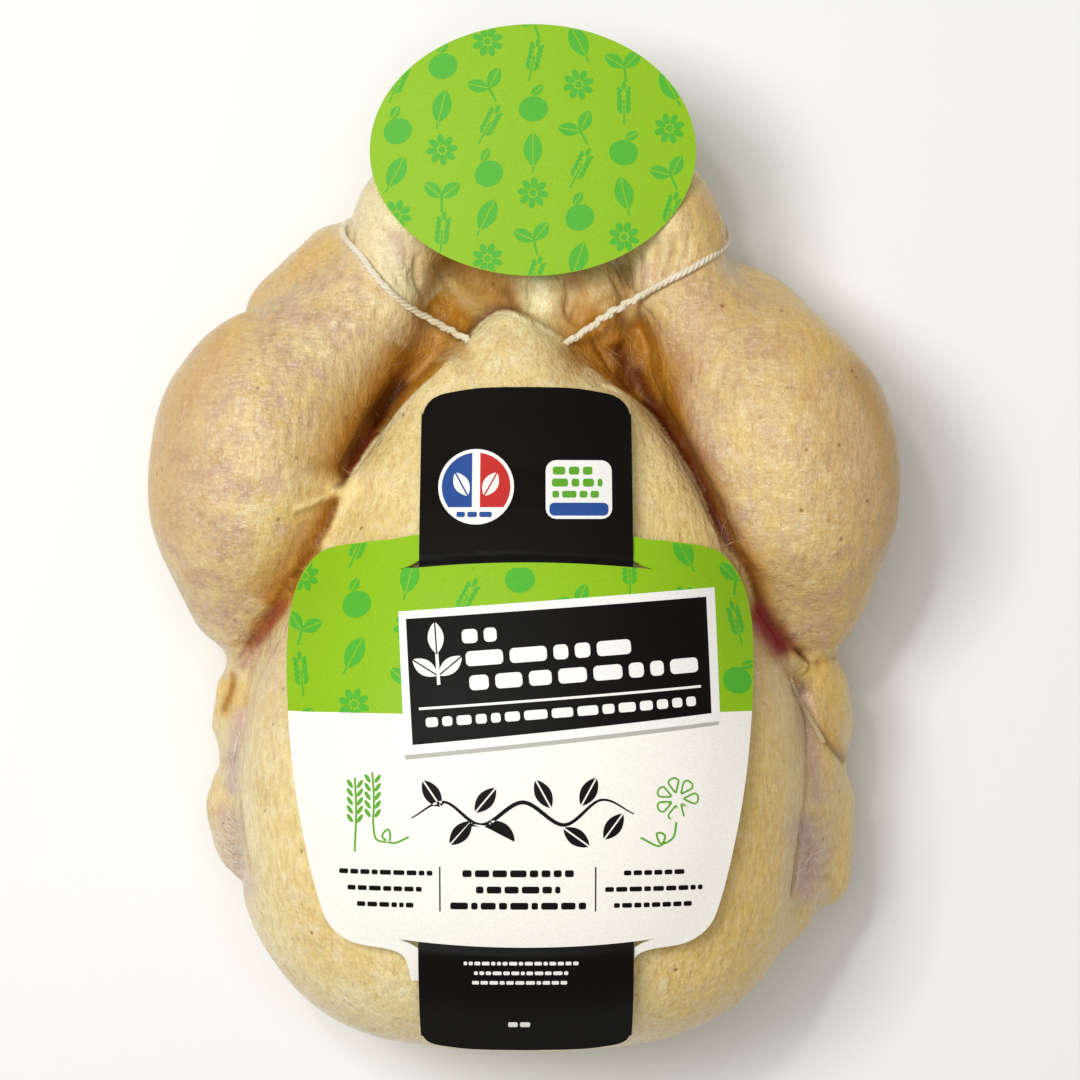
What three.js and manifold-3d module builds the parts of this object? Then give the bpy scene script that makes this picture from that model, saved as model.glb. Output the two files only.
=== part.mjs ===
// Trussed raw chicken lying on its back, with its truss string and paper labels, in millimetres.
// +Z is up, the breast side, +Y runs from the neck to the tail, and X = 0 is the middle of the bird.
import * as THREE from 'three';
import { mergeVertices } from 'three/addons/utils/BufferGeometryUtils.js';
import { edgeTable, triTable } from 'three/addons/objects/MarchingCubes.js';
import Module from 'manifold-3d';

// Driving dimensions of the bird
const NECK_Y = -119.3;
const WIDEST_Y = -50;
const TIP_Y = 72.5;
const TIP_X = -3.5;
const BREAST_HALF_WIDTH = 73;
const BREAST_HEIGHT = 104;
const TIP_HEIGHT = 63;
const SIDE_HEIGHT = 50;
const CELL = 6.25;

// Driving dimensions of the string and of the labels lying on the bird
const STRING_RADIUS = 1.1;
const CARD = 0.4;
const GAP = 0.3;
const OVAL_MIDDLE = [2.4, 110.6];
const OVAL_HALF_WIDTH = 41.3;
const OVAL_HALF_LENGTH = 31.9;
const PANEL_X = -0.8;
const BAND_X = 0.8;
const BAND_HALF_WIDTH = 26.3;
const BAND_TOP_Y = 50.2;
const BAND_END_Y = -114.8;
const TOP_SLIT_Y = 6.5;
const END_SLIT_Y = -87.2;
const SLIT_WIDTH = 2.2;
const SLIT_HALF_LENGTH = 31.5;
const SLIT_SAG = 1.8;

// The origin lies under the middle of the whole, labels included
const MIDDLE_Y = 11.6;

const v3 = (x, y, z) => new THREE.Vector3(x, y, z);
const clamp = THREE.MathUtils.clamp;
const lerp = THREE.MathUtils.lerp;

// Rounded union of two distances, softened over k
function blend(a, b, k) {
  const h = Math.max(k - Math.abs(a - b), 0) / k;
  return Math.min(a, b) - (h * h * k) / 4;
}

// Distance to an ellipsoid turned by an angle about Z, close enough near its surface
function ellipsoid(p, centre, radii, turn = 0) {
  const c = Math.cos(turn);
  const s = Math.sin(turn);
  const dx = p.x - centre.x;
  const dy = p.y - centre.y;
  const x = c * dx + s * dy;
  const y = c * dy - s * dx;
  const z = p.z - centre.z;
  const k0 = Math.hypot(x / radii.x, y / radii.y, z / radii.z);
  const k1 = Math.hypot(x / radii.x ** 2, y / radii.y ** 2, z / radii.z ** 2);
  return k1 < 1e-9 ? -Math.min(radii.x, radii.y, radii.z) : (k0 * (k0 - 1)) / k1;
}

// Distance to a limb whose radius runs evenly from one end's to the other's
function limb(p, from, to, r1, r2) {
  const ax = to.x - from.x;
  const ay = to.y - from.y;
  const az = to.z - from.z;
  const bx = p.x - from.x;
  const by = p.y - from.y;
  const bz = p.z - from.z;
  const t = clamp((bx * ax + by * ay + bz * az) / (ax * ax + ay * ay + az * az), 0, 1);
  return Math.hypot(bx - ax * t, by - ay * t, bz - az * t) - lerp(r1, r2, t);
}

// Plan and side outlines of the trunk, worked out from the driving dimensions
function neckShare(y, power) {
  const t = clamp((WIDEST_Y - y) / (WIDEST_Y - NECK_Y), 0, 0.9999);
  return (1 - t ** power) ** (1 / power);
}
function breastHalfWidth(y) {
  if (y < WIDEST_Y) return BREAST_HALF_WIDTH * neckShare(y, 3);
  const t = clamp((y - WIDEST_Y) / (TIP_Y - WIDEST_Y), 0, 0.9999);
  return BREAST_HALF_WIDTH * (1 - t ** 1.75) ** 0.82;
}
function breastTop(y) {
  const peak = WIDEST_Y + 6;
  if (y < peak) {
    const t = clamp((peak - y) / (peak - NECK_Y), 0, 0.9999);
    return SIDE_HEIGHT + (BREAST_HEIGHT - SIDE_HEIGHT) * (1 - t ** 2.5) ** (1 / 2.5);
  }
  const t = clamp((y - peak) / (TIP_Y - peak), 0, 1);
  return BREAST_HEIGHT - (BREAST_HEIGHT - TIP_HEIGHT) * t ** 1.6;
}
function backDepth(y) {
  return Math.max(3, (SIDE_HEIGHT + 3) * neckShare(y, 2.4));
}

// Distance to a loft along Y with rounded-square sections of the given half width, rise and depth
function loft(p, halfWidth, rise, depth, power, fromY, toY) {
  const z = p.z - SIDE_HEIGHT;
  const h = z > 0 ? rise : depth;
  const x = Math.abs(p.x);
  const k = ((x / halfWidth) ** power + (Math.abs(z) / h) ** power) ** (1 / power);
  if (k < 1e-6) return -Math.min(halfWidth, h);
  const gx = (k ** (1 - power) * (x / halfWidth) ** (power - 1)) / halfWidth;
  const gz = (k ** (1 - power) * (Math.abs(z) / h) ** (power - 1)) / h;
  return Math.max((k - 1) / Math.hypot(gx, gz), p.y - toY, fromY - p.y);
}

function trunk(p) {
  const w = Math.max(breastHalfWidth(p.y), 0.6);
  const rise = Math.max(breastTop(p.y) - SIDE_HEIGHT, 1);
  const swayed = v3(p.x - TIP_X * clamp((p.y - 30) / 35, 0, 1), p.y, p.z);
  const breast = loft(swayed, w, rise, backDepth(p.y), 2.25, NECK_Y, TIP_Y);
  const pelvis = ellipsoid(p, v3(0, 42, 29), v3(52, 58, 25));
  const tail = limb(p, v3(0, 84, 29), v3(0, 110, 25), 18, 9);
  const neckFlap = ellipsoid(p, v3(0, -97, 20), v3(40, 20, 17));
  return blend(blend(blend(breast, pelvis, 10), tail, 10), neckFlap, 6);
}

// The left leg lies at negative X, and the right hock stands further out, as trussing left it
const LEGS = [
  { side: -1, spread: 0.5, knee: 72, thighEnd: [45, 74.5] },
  { side: 1, spread: 7, knee: 74, thighEnd: [50, 65] },
];
function leg(p, { side, spread, knee, thighEnd }) {
  const calf = ellipsoid(p, v3(side * 69.5, 32, 53), v3(27.3, 38, 28), side * 0.2);
  const bend = limb(p, v3(side * 67, 14, 49), v3(side * knee, -3.5, 45), 19.5, 14.5);
  const shin = limb(p, v3(side * 64, 44, 54), v3(side * (36 + spread / 2), 77, 55), 22.5, 11.5);
  const thigh = limb(p, v3(side * 64, 16, 34), v3(side * thighEnd[0], thighEnd[1], 36), 27, 21.5);
  const hock = ellipsoid(p, v3(side * (30.5 + spread), 93, 52), v3(13.5, 18, 17), side * 0.35);
  const ankle = limb(p, v3(side * (27 + spread), 100, 51), v3(side * (20 + spread / 2), 116, 48), 12, 9.5);
  const upper = blend(blend(calf, bend, 12), shin, 10);
  return blend(blend(upper, thigh, 5), blend(hock, ankle, 6), 3.5);
}

// A folded wing: upper arm back to the elbow, forearm forward to the wrist, tip tucked under the back
const WINGS = [
  { side: -1, out: -2.5 },
  { side: 1, out: 2.5 },
];
function wing(p, { side, out }) {
  const x = (value) => side * (value + out);
  const arm = limb(p, v3(x(60), -80, 46), v3(x(71), -26, 40), 15, 11);
  const elbow = limb(p, v3(x(71.5), -28, 38), v3(x(74.5), -37, 33), 10.5, 10.5);
  const forearm = limb(p, v3(x(73), -57, 31), v3(x(71 + out / 2), -71 - out, 32), 12.5, 12);
  const web = ellipsoid(p, v3(x(65), -50, 34), v3(14, 28, 15));
  const tip = limb(p, v3(x(63), -70, 20), v3(x(59), -34, 13), 10.5, 7.5);
  return blend(blend(blend(blend(arm, web, 6), elbow, 4), forearm, 4), tip, 4);
}

function bird(p) {
  let d = trunk(p);
  for (const one of LEGS) d = blend(d, leg(p, one), 4);
  for (const one of WINGS) d = blend(d, wing(p, one), 3);
  const fat = limb(p, v3(5, 88, 50), v3(5, 68, 48), 8, 6.5);
  const lobe = ellipsoid(p, v3(18, 77, 48), v3(8, 9, 9));
  return blend(blend(d, fat, 3), lobe, 3);
}

const STEP = 0.05;
function slope(field, p) {
  const at = (dx, dy, dz) => field(v3(p.x + dx, p.y + dy, p.z + dz));
  return v3(
    at(STEP, 0, 0) - at(-STEP, 0, 0),
    at(0, STEP, 0) - at(0, -STEP, 0),
    at(0, 0, STEP) - at(0, 0, -STEP),
  ).divideScalar(2 * STEP);
}
// Moves a point along the field's slope to where the field has the wanted value
function settle(field, p, wanted = 0, rounds = 4) {
  for (let i = 0; i < rounds; i++) {
    const g = slope(field, p);
    const step = (field(p) - wanted) / Math.max(g.lengthSq(), 0.05);
    p.addScaledVector(g, -clamp(step, -CELL, CELL));
  }
  return p;
}

// Triangles of the surface where the field is zero, by marching cubes on an even grid
function skinOf(field, low, high, cell) {
  const count = [0, 1, 2].map((i) => Math.ceil((high[i] - low[i]) / cell) + 1);
  const index = (i, j, k) => i + count[0] * (j + count[1] * k);
  const spot = (i, j, k) => v3(low[0] + i * cell, low[1] + j * cell, low[2] + k * cell);
  const values = new Float64Array(count[0] * count[1] * count[2]);
  for (let k = 0; k < count[2]; k++)
    for (let j = 0; j < count[1]; j++)
      for (let i = 0; i < count[0]; i++) values[index(i, j, k)] = field(spot(i, j, k));
  const corners = [
    [0, 0, 0], [1, 0, 0], [1, 1, 0], [0, 1, 0], [0, 0, 1], [1, 0, 1], [1, 1, 1], [0, 1, 1],
  ];
  const edges = [
    [0, 1], [1, 2], [3, 2], [0, 3], [4, 5], [5, 6], [7, 6], [4, 7], [0, 4], [1, 5], [2, 6], [3, 7],
  ];
  const points = [];
  const triangles = [];
  const known = new Map();
  const vertexOn = (a, b) => {
    const key = `${index(...a)}_${index(...b)}`;
    if (!known.has(key)) {
      const [fa, fb] = [values[index(...a)], values[index(...b)]];
      known.set(key, points.length);
      points.push(spot(...a).lerp(spot(...b), clamp(fa / (fa - fb), 0.02, 0.98)));
    }
    return known.get(key);
  };
  for (let k = 0; k < count[2] - 1; k++)
    for (let j = 0; j < count[1] - 1; j++)
      for (let i = 0; i < count[0] - 1; i++) {
        const at = corners.map(([a, b, c]) => [i + a, j + b, k + c]);
        let kind = 0;
        at.forEach((c, n) => { if (values[index(...c)] < 0) kind |= 1 << n; });
        if (edgeTable[kind] === 0) continue;
        const vertex = (n) => vertexOn(at[edges[n][0]], at[edges[n][1]]);
        for (let n = kind * 16; triTable[n] !== -1; n += 3)
          triangles.push([vertex(triTable[n]), vertex(triTable[n + 2]), vertex(triTable[n + 1])]);
      }
  return { points, triangles };
}

// Evens the triangles out along the surface, and brings each corner back onto it
function relax({ points, triangles }, field, rounds) {
  const near = points.map(() => new Set());
  for (const [a, b, c] of triangles) {
    near[a].add(b).add(c);
    near[b].add(a).add(c);
    near[c].add(a).add(b);
  }
  for (let round = 0; round < rounds; round++) {
    const moved = points.map((p, i) => {
      const middle = v3(0, 0, 0);
      near[i].forEach((n) => middle.add(points[n]));
      middle.divideScalar(near[i].size);
      return p.clone().lerp(middle, 0.6);
    });
    moved.forEach((p, i) => points[i].copy(settle(field, p, 0, 2)));
  }
}

function geometryOf({ points, triangles }) {
  const geometry = new THREE.BufferGeometry();
  geometry.setAttribute('position', new THREE.Float32BufferAttribute(points.flatMap((p) => p.toArray()), 3));
  geometry.setIndex(triangles.flat());
  return geometry;
}

const wasm = await Module();
wasm.setup();
function solidOf(geometry) {
  const bare = geometry.clone();
  bare.deleteAttribute('normal');
  bare.deleteAttribute('uv');
  const merged = mergeVertices(bare, 1e-4);
  const vertProperties = new Float32Array(merged.attributes.position.array);
  const triVerts = new Uint32Array(merged.index.array);
  return new wasm.Manifold(new wasm.Mesh({ numProp: 3, vertProperties, triVerts }));
}
function backToGeometry(solid) {
  const mesh = solid.getMesh();
  const geometry = new THREE.BufferGeometry();
  geometry.setAttribute('position', new THREE.BufferAttribute(new Float32Array(mesh.vertProperties), 3));
  geometry.setIndex(new THREE.BufferAttribute(new Uint32Array(mesh.triVerts), 1));
  return geometry;
}

// Height of a field's surface over a point in plan, found from above
function heightOver(field, x, y) {
  let low = SIDE_HEIGHT;
  let high = 130;
  for (let i = 0; i < 26; i++) {
    const middle = (low + high) / 2;
    if (field(v3(x, y, middle)) > 0) high = middle;
    else low = middle;
  }
  return high;
}

// A closed loop of string: over both legs, through the flesh under the breast tip, and round the tail
const TRUSS_ROUTE = [
  v3(-14.5, 63.2, 60), v3(-23, 68, 61), v3(-30.3, 72, 62), v3(-38.8, 80.5, 60), v3(-44, 90, 54),
  v3(-42, 99, 34), v3(-26, 106, 20), v3(0, 109, 12), v3(28, 106, 18), v3(46, 100, 34),
  v3(51.5, 88.5, 54), v3(46.5, 83.3, 60), v3(33.6, 76.2, 62), v3(21.6, 69.7, 61), v3(12.5, 63.3, 60),
];
const UNDER_TIP = [v3(6, 60.5, 56), v3(-1, 59.5, 55), v3(-8, 60.5, 56)];
// Brings a point of a string's middle line up, if need be, so that the string lies on the skin there
function laidOver(point) {
  const top = heightOver(bird, point.x, point.y) + STRING_RADIUS + GAP;
  return v3(point.x, point.y, Math.max(point.z, top));
}
function trussString(radius = STRING_RADIUS) {
  const rough = new THREE.CatmullRomCurve3(TRUSS_ROUTE, false, 'centripetal');
  const hugging = (p) => settle(bird, p, STRING_RADIUS + GAP, 12);
  const held = rough.getSpacedPoints(40).map((p) => (p.z < 55 ? hugging(p) : laidOver(p)));
  const route = new THREE.CatmullRomCurve3([...held, ...UNDER_TIP], true, 'centripetal');
  return new THREE.TubeGeometry(route, 80, radius, 6, true);
}

// A short end of string that shows in the crease beside the right wing
const WING_ROUTE = [
  v3(67.8, -23, 0), v3(70.3, -28, 0), v3(73.3, -33.3, 0), v3(76.6, -38.8, 0), v3(77.8, -41, 0),
];
function wingString(radius = STRING_RADIUS) {
  const held = new THREE.CatmullRomCurve3(WING_ROUTE).getSpacedPoints(12).map(laidOver);
  const curve = new THREE.CatmullRomCurve3(held);
  const length = curve.getLength();
  const capsule = new THREE.CapsuleGeometry(radius, length, 2, 8, 10);
  return bendAlong(capsule, curve, length + 2 * radius);
}
// Bends a shape that stands along Y so that it runs along a curve
function bendAlong(geometry, curve, length) {
  const at = geometry.attributes.position;
  for (let i = 0; i < at.count; i++) {
    const t = clamp(at.getY(i) / length + 0.5, 0, 1);
    const along = curve.getTangentAt(t);
    const across = v3(0, 0, 1).cross(along).normalize();
    const up = along.clone().cross(across);
    const p = curve.getPointAt(t).addScaledVector(across, at.getZ(i)).addScaledVector(up, at.getX(i));
    at.setXYZ(i, p.x, p.y, p.z);
  }
  return geometry;
}

// The bird is one solid, pressed in a little by the strings, with a flat spot underneath to rest on
function chicken() {
  const skin = skinOf(bird, [-104, -126, -7], [104, 132, 112], CELL);
  relax(skin, bird, 6);
  const below = new THREE.BoxGeometry(400, 400, 60).translate(0, 0, -30);
  const cuts = [below, trussString(STRING_RADIUS + GAP), wingString(STRING_RADIUS + GAP)];
  return backToGeometry(cuts.reduce((solid, cut) => solid.subtract(solidOf(cut)), solidOf(geometryOf(skin))));
}

// The form the card lies over: the breast without its taper, and the thighs beside it
function cardForm(p) {
  const untapered = lerp(BREAST_HALF_WIDTH, 46, clamp((p.y - WIDEST_Y) / 100, 0, 1));
  const width = p.y < WIDEST_Y ? breastHalfWidth(p.y) : untapered;
  const breast = loft(p, width + 0.6, breastTop(p.y) - SIDE_HEIGHT + 0.6, SIDE_HEIGHT, 2.25, -400, 400);
  return blend(breast, bird(p), 12);
}
// The card's height runs on straight past this row, where it stands clear of the neck end
const OFF_THE_NECK_Y = -107;
function cardHeight(x, y) {
  if (y > OFF_THE_NECK_Y) return heightOver(cardForm, x, y);
  const here = heightOver(cardForm, x, OFF_THE_NECK_Y);
  const fall = heightOver(cardForm, x, OFF_THE_NECK_Y + 2) - here;
  return here + (fall / 2) * (y - OFF_THE_NECK_Y);
}
// The rows of both cards bow with the slits, up at the top slit and down at the end one
function bowed(x, row) {
  const share = lerp(-1, 1, clamp((row - END_SLIT_Y) / (TOP_SLIT_Y - END_SLIT_Y), 0, 1));
  return row - share * SLIT_SAG * (x / SLIT_HALF_LENGTH) ** 2;
}

// A slab of card over the breast, on given rows and columns, its underside at a lift for each row
function slab(columns, rows, liftOf) {
  const sheet = new THREE.BoxGeometry(1, 1, 1, columns.length - 1, rows.length - 1, 1);
  const at = sheet.attributes.position;
  for (let i = 0; i < at.count; i++) {
    const x = columns[Math.round((at.getX(i) + 0.5) * (columns.length - 1))];
    const row = rows[Math.round((at.getY(i) + 0.5) * (rows.length - 1))];
    const y = bowed(x, row);
    const dx = cardHeight(x + 0.5, y) - cardHeight(x - 0.5, y);
    const dy = cardHeight(x, y + 0.5) - cardHeight(x, y - 0.5);
    const steep = Math.min(Math.hypot(1, dx, dy), 2.2);
    const lift = liftOf(row) + (at.getZ(i) > 0 ? CARD : 0);
    at.setXYZ(i, x, y, cardHeight(x, y) + lift * steep);
  }
  return sheet;
}
const spaced = (from, to, count) => Array.from({ length: count + 1 }, (_, i) => lerp(from, to, i / count));
// Cuts a slab to an outline seen from above
function cutTo(sheet, outline) {
  const prism = new THREE.ExtrudeGeometry(outline, { depth: 120, bevelEnabled: false, curveSegments: 12 });
  return backToGeometry(solidOf(sheet).intersect(solidOf(prism.translate(0, 0, 30))));
}

// One slit: its lip shows against the band, and its other edge lies hidden under the band
function slit(lipY, away) {
  const path = new THREE.Path();
  const lip = (x) => lipY - away * SLIT_SAG * (x / SLIT_HALF_LENGTH) ** 2;
  const xs = spaced(-SLIT_HALF_LENGTH, SLIT_HALF_LENGTH, 14);
  const open = (x) => SLIT_WIDTH * clamp((SLIT_HALF_LENGTH - Math.abs(x)) / 4.5, 0, 1);
  xs.forEach((x, i) => (i ? path.lineTo(x + BAND_X, lip(x)) : path.moveTo(x + BAND_X, lip(x))));
  const back = xs.slice(1, -1).reverse();
  back.forEach((x) => path.lineTo(x + BAND_X, lip(x) + away * open(x)));
  return path;
}
function panelOutline() {
  const side = [
    [26.6, 17.5], [28, 14], [31.5, 12.2], [38, 11.6], [47, 10.2], [51.5, 7.6], [55.6, 1.5], [57.7, -7],
    [58, -18], [57.2, -32], [55.4, -48], [52.4, -64], [49.4, -76], [46.6, -82.6], [41, -86.6],
    [31.5, -88.2], [28, -90.4], [26.6, -96],
  ];
  const shape = new THREE.Shape();
  const left = new THREE.SplineCurve(side.map(([x, y]) => new THREE.Vector2(PANEL_X - x, y)));
  const right = new THREE.SplineCurve(side.map(([x, y]) => new THREE.Vector2(PANEL_X + x, y)).reverse());
  shape.setFromPoints([...left.getPoints(28), ...right.getPoints(28)]);
  shape.holes.push(slit(TOP_SLIT_Y, 1), slit(END_SLIT_Y, -1));
  return shape;
}
function bandOutline() {
  const shape = new THREE.Shape();
  const w = BAND_HALF_WIDTH;
  shape.moveTo(BAND_X - w, 0);
  shape.lineTo(BAND_X - w + 0.3, BAND_TOP_Y - 6);
  shape.quadraticCurveTo(BAND_X - w + 0.6, BAND_TOP_Y - 1.4, BAND_X - w + 7, BAND_TOP_Y - 0.7);
  shape.quadraticCurveTo(BAND_X, BAND_TOP_Y + 0.7, BAND_X + w - 7, BAND_TOP_Y - 0.7);
  shape.quadraticCurveTo(BAND_X + w - 0.6, BAND_TOP_Y - 1.4, BAND_X + w - 0.3, BAND_TOP_Y - 6);
  shape.lineTo(BAND_X + w, 0);
  shape.lineTo(BAND_X + w, BAND_END_Y + 6);
  shape.quadraticCurveTo(BAND_X + w - 0.6, BAND_END_Y + 1.4, BAND_X + w - 7, BAND_END_Y + 0.7);
  shape.quadraticCurveTo(BAND_X, BAND_END_Y - 0.7, BAND_X - w + 7, BAND_END_Y + 0.7);
  shape.quadraticCurveTo(BAND_X - w + 0.6, BAND_END_Y + 1.4, BAND_X - w, BAND_END_Y + 6);
  shape.closePath();
  return shape;
}
// The band lies under the panel between the slits, over the panel's edges, and on the skin beyond
const UNDER = GAP;
const PANEL_LIFT = UNDER + CARD + GAP;
const OVER = PANEL_LIFT + CARD + GAP;
const BAND_LIFTS = [
  [BAND_END_Y - 3, OVER - 0.6], [-100, OVER], [END_SLIT_Y - SLIT_WIDTH, OVER], [END_SLIT_Y, UNDER],
  [TOP_SLIT_Y, UNDER], [TOP_SLIT_Y + SLIT_WIDTH, OVER], [20, OVER], [30, UNDER], [BAND_TOP_Y + 2, UNDER],
];
function bandLift(row) {
  const next = BAND_LIFTS.findIndex(([y]) => y >= row);
  if (next < 1) return BAND_LIFTS[0][1];
  const [[y0, a], [y1, b]] = [BAND_LIFTS[next - 1], BAND_LIFTS[next]];
  return lerp(a, b, (row - y0) / (y1 - y0));
}
function panel() {
  const rows = [-98, ...spaced(END_SLIT_Y, TOP_SLIT_Y, 12), 18];
  return cutTo(slab(spaced(-60, 60, 16), rows, () => PANEL_LIFT), panelOutline());
}
function band() {
  const rows = [
    ...spaced(BAND_END_Y - 3, END_SLIT_Y - SLIT_WIDTH, 4), ...spaced(END_SLIT_Y, TOP_SLIT_Y, 12),
    ...spaced(TOP_SLIT_Y + SLIT_WIDTH, BAND_TOP_Y + 2, 6),
  ];
  return cutTo(slab(spaced(-28, 30, 8), rows, bandLift), bandOutline());
}

// The oval label bends a little over the two leg ends, and comes down until it rests on them
function oval() {
  const sheet = new THREE.BoxGeometry(90, 72, CARD, 9, 7, 1);
  const at = sheet.attributes.position;
  const height = (x, y) => -0.0016 * x * x - 0.03 * y - 0.0012 * y * y;
  for (let i = 0; i < at.count; i++) at.setZ(i, at.getZ(i) + height(at.getX(i), at.getY(i)));
  sheet.translate(OVAL_MIDDLE[0], OVAL_MIDDLE[1], 0);
  let rest = 0;
  for (let i = 0; i < at.count; i++) {
    const [x, y, z] = [at.getX(i), at.getY(i), at.getZ(i)];
    const across = (x - OVAL_MIDDLE[0]) / OVAL_HALF_WIDTH;
    const along = (y - OVAL_MIDDLE[1]) / OVAL_HALF_LENGTH;
    if (Math.hypot(across, along) < 1.1) rest = Math.max(rest, heightOver(bird, x, y) + 2 * GAP - z);
  }
  const outline = new THREE.Shape().absellipse(
    OVAL_MIDDLE[0], OVAL_MIDDLE[1], OVAL_HALF_WIDTH, OVAL_HALF_LENGTH, 0, 2 * Math.PI, false, 0);
  return cutTo(sheet.translate(0, 0, rest), outline);
}

const SKIN = new THREE.MeshStandardMaterial({ color: 0xd9b97c, roughness: 0.42, metalness: 0 });
const STRING = new THREE.MeshStandardMaterial({ color: 0xefe6d2, roughness: 0.9, metalness: 0 });
const LIME = new THREE.MeshStandardMaterial({ color: 0xa2c829, roughness: 0.4, metalness: 0 });
const BLACK = new THREE.MeshStandardMaterial({ color: 0x1b1814, roughness: 0.4, metalness: 0 });

function piece(name, geometry, material) {
  const mesh = new THREE.Mesh(geometry, material);
  mesh.name = name;
  return mesh;
}

const whole = new THREE.Group();
whole.add(piece('chicken', chicken(), SKIN));
whole.add(piece('truss_string', trussString(), STRING));
whole.add(piece('wing_string', wingString(), STRING));
whole.add(piece('label_panel', panel(), LIME));
whole.add(piece('label_band', band(), BLACK));
whole.add(piece('label_oval', oval(), LIME));
whole.position.set(0, -MIDDLE_Y, 0);
export default whole;
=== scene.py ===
# A trussed raw chicken lying on its back, with its string and paper labels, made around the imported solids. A
# route over the skin is drawn in pixels of the photograph's 1080 by 1080 frame, and falls on the skin that
# they show.
import math
import random

import bpy
import numpy as np
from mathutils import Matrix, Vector, noise
from mathutils.bvhtree import BVHTree


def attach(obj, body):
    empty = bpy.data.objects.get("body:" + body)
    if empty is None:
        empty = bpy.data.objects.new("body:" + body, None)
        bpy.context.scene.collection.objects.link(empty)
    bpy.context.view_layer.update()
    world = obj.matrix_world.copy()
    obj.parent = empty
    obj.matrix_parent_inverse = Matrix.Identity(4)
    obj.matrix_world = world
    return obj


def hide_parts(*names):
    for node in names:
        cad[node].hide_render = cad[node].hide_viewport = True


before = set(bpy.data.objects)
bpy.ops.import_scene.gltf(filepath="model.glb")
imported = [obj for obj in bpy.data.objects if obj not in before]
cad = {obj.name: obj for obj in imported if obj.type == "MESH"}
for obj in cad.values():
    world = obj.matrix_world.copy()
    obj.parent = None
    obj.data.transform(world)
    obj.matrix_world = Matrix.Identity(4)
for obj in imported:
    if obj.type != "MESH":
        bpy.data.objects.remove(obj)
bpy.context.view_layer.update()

MM = 0.001
# Rays go straight down from above all the pieces
DOWN = Vector((0, 0, -1))
ABOVE_ALL = 0.2

# The camera, the width of its view at the skin's height, and one pixel there in millimetres
IMAGE = 1080
CAMERA = Vector((4.2, 0.4, 945)) * MM
VIEW_WIDTH = 280.8 * MM
VIEW_DISTANCE = 900 * MM
SENSOR = 36.0
PIXEL = 0.248

scene = bpy.context.scene


# Small helpers for objects

def select_only(piece):
    bpy.ops.object.select_all(action="DESELECT")
    piece.select_set(True)
    bpy.context.view_layer.objects.active = piece


def apply_modifier(piece, kind, **settings):
    select_only(piece)
    modifier = piece.modifiers.new(kind, kind)
    for name, value in settings.items():
        setattr(modifier, name, value)
    bpy.ops.object.modifier_apply(modifier=modifier.name)


def edit(piece, *steps):
    """Runs edit operators on all of a piece, each given as its function and its settings."""
    select_only(piece)
    bpy.ops.object.mode_set(mode="EDIT")
    for operator, settings in steps:
        bpy.ops.mesh.select_all(action="SELECT")
        operator(**settings)
    bpy.ops.object.mode_set(mode="OBJECT")


def joined(name, parts):
    bpy.ops.object.select_all(action="DESELECT")
    for part in parts:
        part.select_set(True)
    bpy.context.view_layer.objects.active = parts[0]
    if len(parts) > 1:
        bpy.ops.object.join()
    parts[0].name = name
    return parts[0]


def places(piece):
    """The corners of a piece's mesh as an array."""
    flat_list = np.empty(len(piece.data.vertices) * 3)
    piece.data.vertices.foreach_get("co", flat_list)
    return flat_list.reshape(-1, 3)


def normals(piece):
    flat_list = np.empty(len(piece.data.vertices) * 3, np.float32)
    piece.data.vertices.foreach_get("normal", flat_list)
    return flat_list.reshape(-1, 3).astype(float)


def set_places(piece, points):
    piece.data.vertices.foreach_set("co", points.ravel())
    piece.data.update()


def tree_of(piece):
    mesh = piece.data
    return BVHTree.FromPolygons([v.co for v in mesh.vertices], [p.vertices for p in mesh.polygons])


def meshed(name, curve):
    """A curve made a mesh, as a piece of its own."""
    piece = bpy.data.objects.new(name, curve)
    scene.collection.objects.link(piece)
    select_only(piece)
    bpy.ops.object.convert(target="MESH")
    return piece


def smoothstep(t):
    t = np.clip(t, 0, 1)
    return t * t * (3 - 2 * t)


# Small helpers for materials

def linear(code):
    """An sRGB hex colour as linear values with an alpha."""
    shares = [int(code[i:i + 2], 16) / 255 for i in (1, 3, 5)]
    return [c / 12.92 if c <= 0.04045 else ((c + 0.055) / 1.055) ** 2.4 for c in shares] + [1.0]


def add(tree, kind, inputs=(), output=0, **settings):
    """Adds a node and gives one of its outputs. An input takes a number, a colour or a node's output."""
    made = tree.nodes.new("ShaderNode" + kind)
    for name, value in settings.items():
        setattr(made, name, value)
    for socket, value in dict(inputs).items():
        if isinstance(value, bpy.types.NodeSocket):
            tree.links.new(value, made.inputs[socket])
        else:
            made.inputs[socket].default_value = value
    return made.outputs[output] if made.outputs else None


def new_material(name):
    material = bpy.data.materials.new(name)
    material.use_nodes = True
    material.node_tree.nodes.clear()
    return material, material.node_tree


# The camera looks straight down, as in the photograph

camera_data = bpy.data.cameras.new("camera")
camera_data.sensor_width = SENSOR
camera_data.lens = SENSOR * VIEW_DISTANCE / VIEW_WIDTH
camera = bpy.data.objects.new("camera", camera_data)
camera.location = CAMERA
scene.collection.objects.link(camera)
scene.camera = camera


def sight(px, py):
    """The direction in which the camera sees a pixel."""
    pixel = VIEW_WIDTH / VIEW_DISTANCE / IMAGE
    return Vector(((px - IMAGE / 2) * pixel, (IMAGE / 2 - py) * pixel, -1)).normalized()


# The skin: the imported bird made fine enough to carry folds, with fewer faces where the photograph sees none

SKIN_CELL = 1.45 * MM
SKIN_SMOOTHINGS = 11
UNSEEN_BELOW = 28 * MM
UNDER_PANEL = (-46, -95, 44, -12)
UNDER_PANEL_ABOVE = 70 * MM
KEPT_SHARE = 0.62
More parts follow.
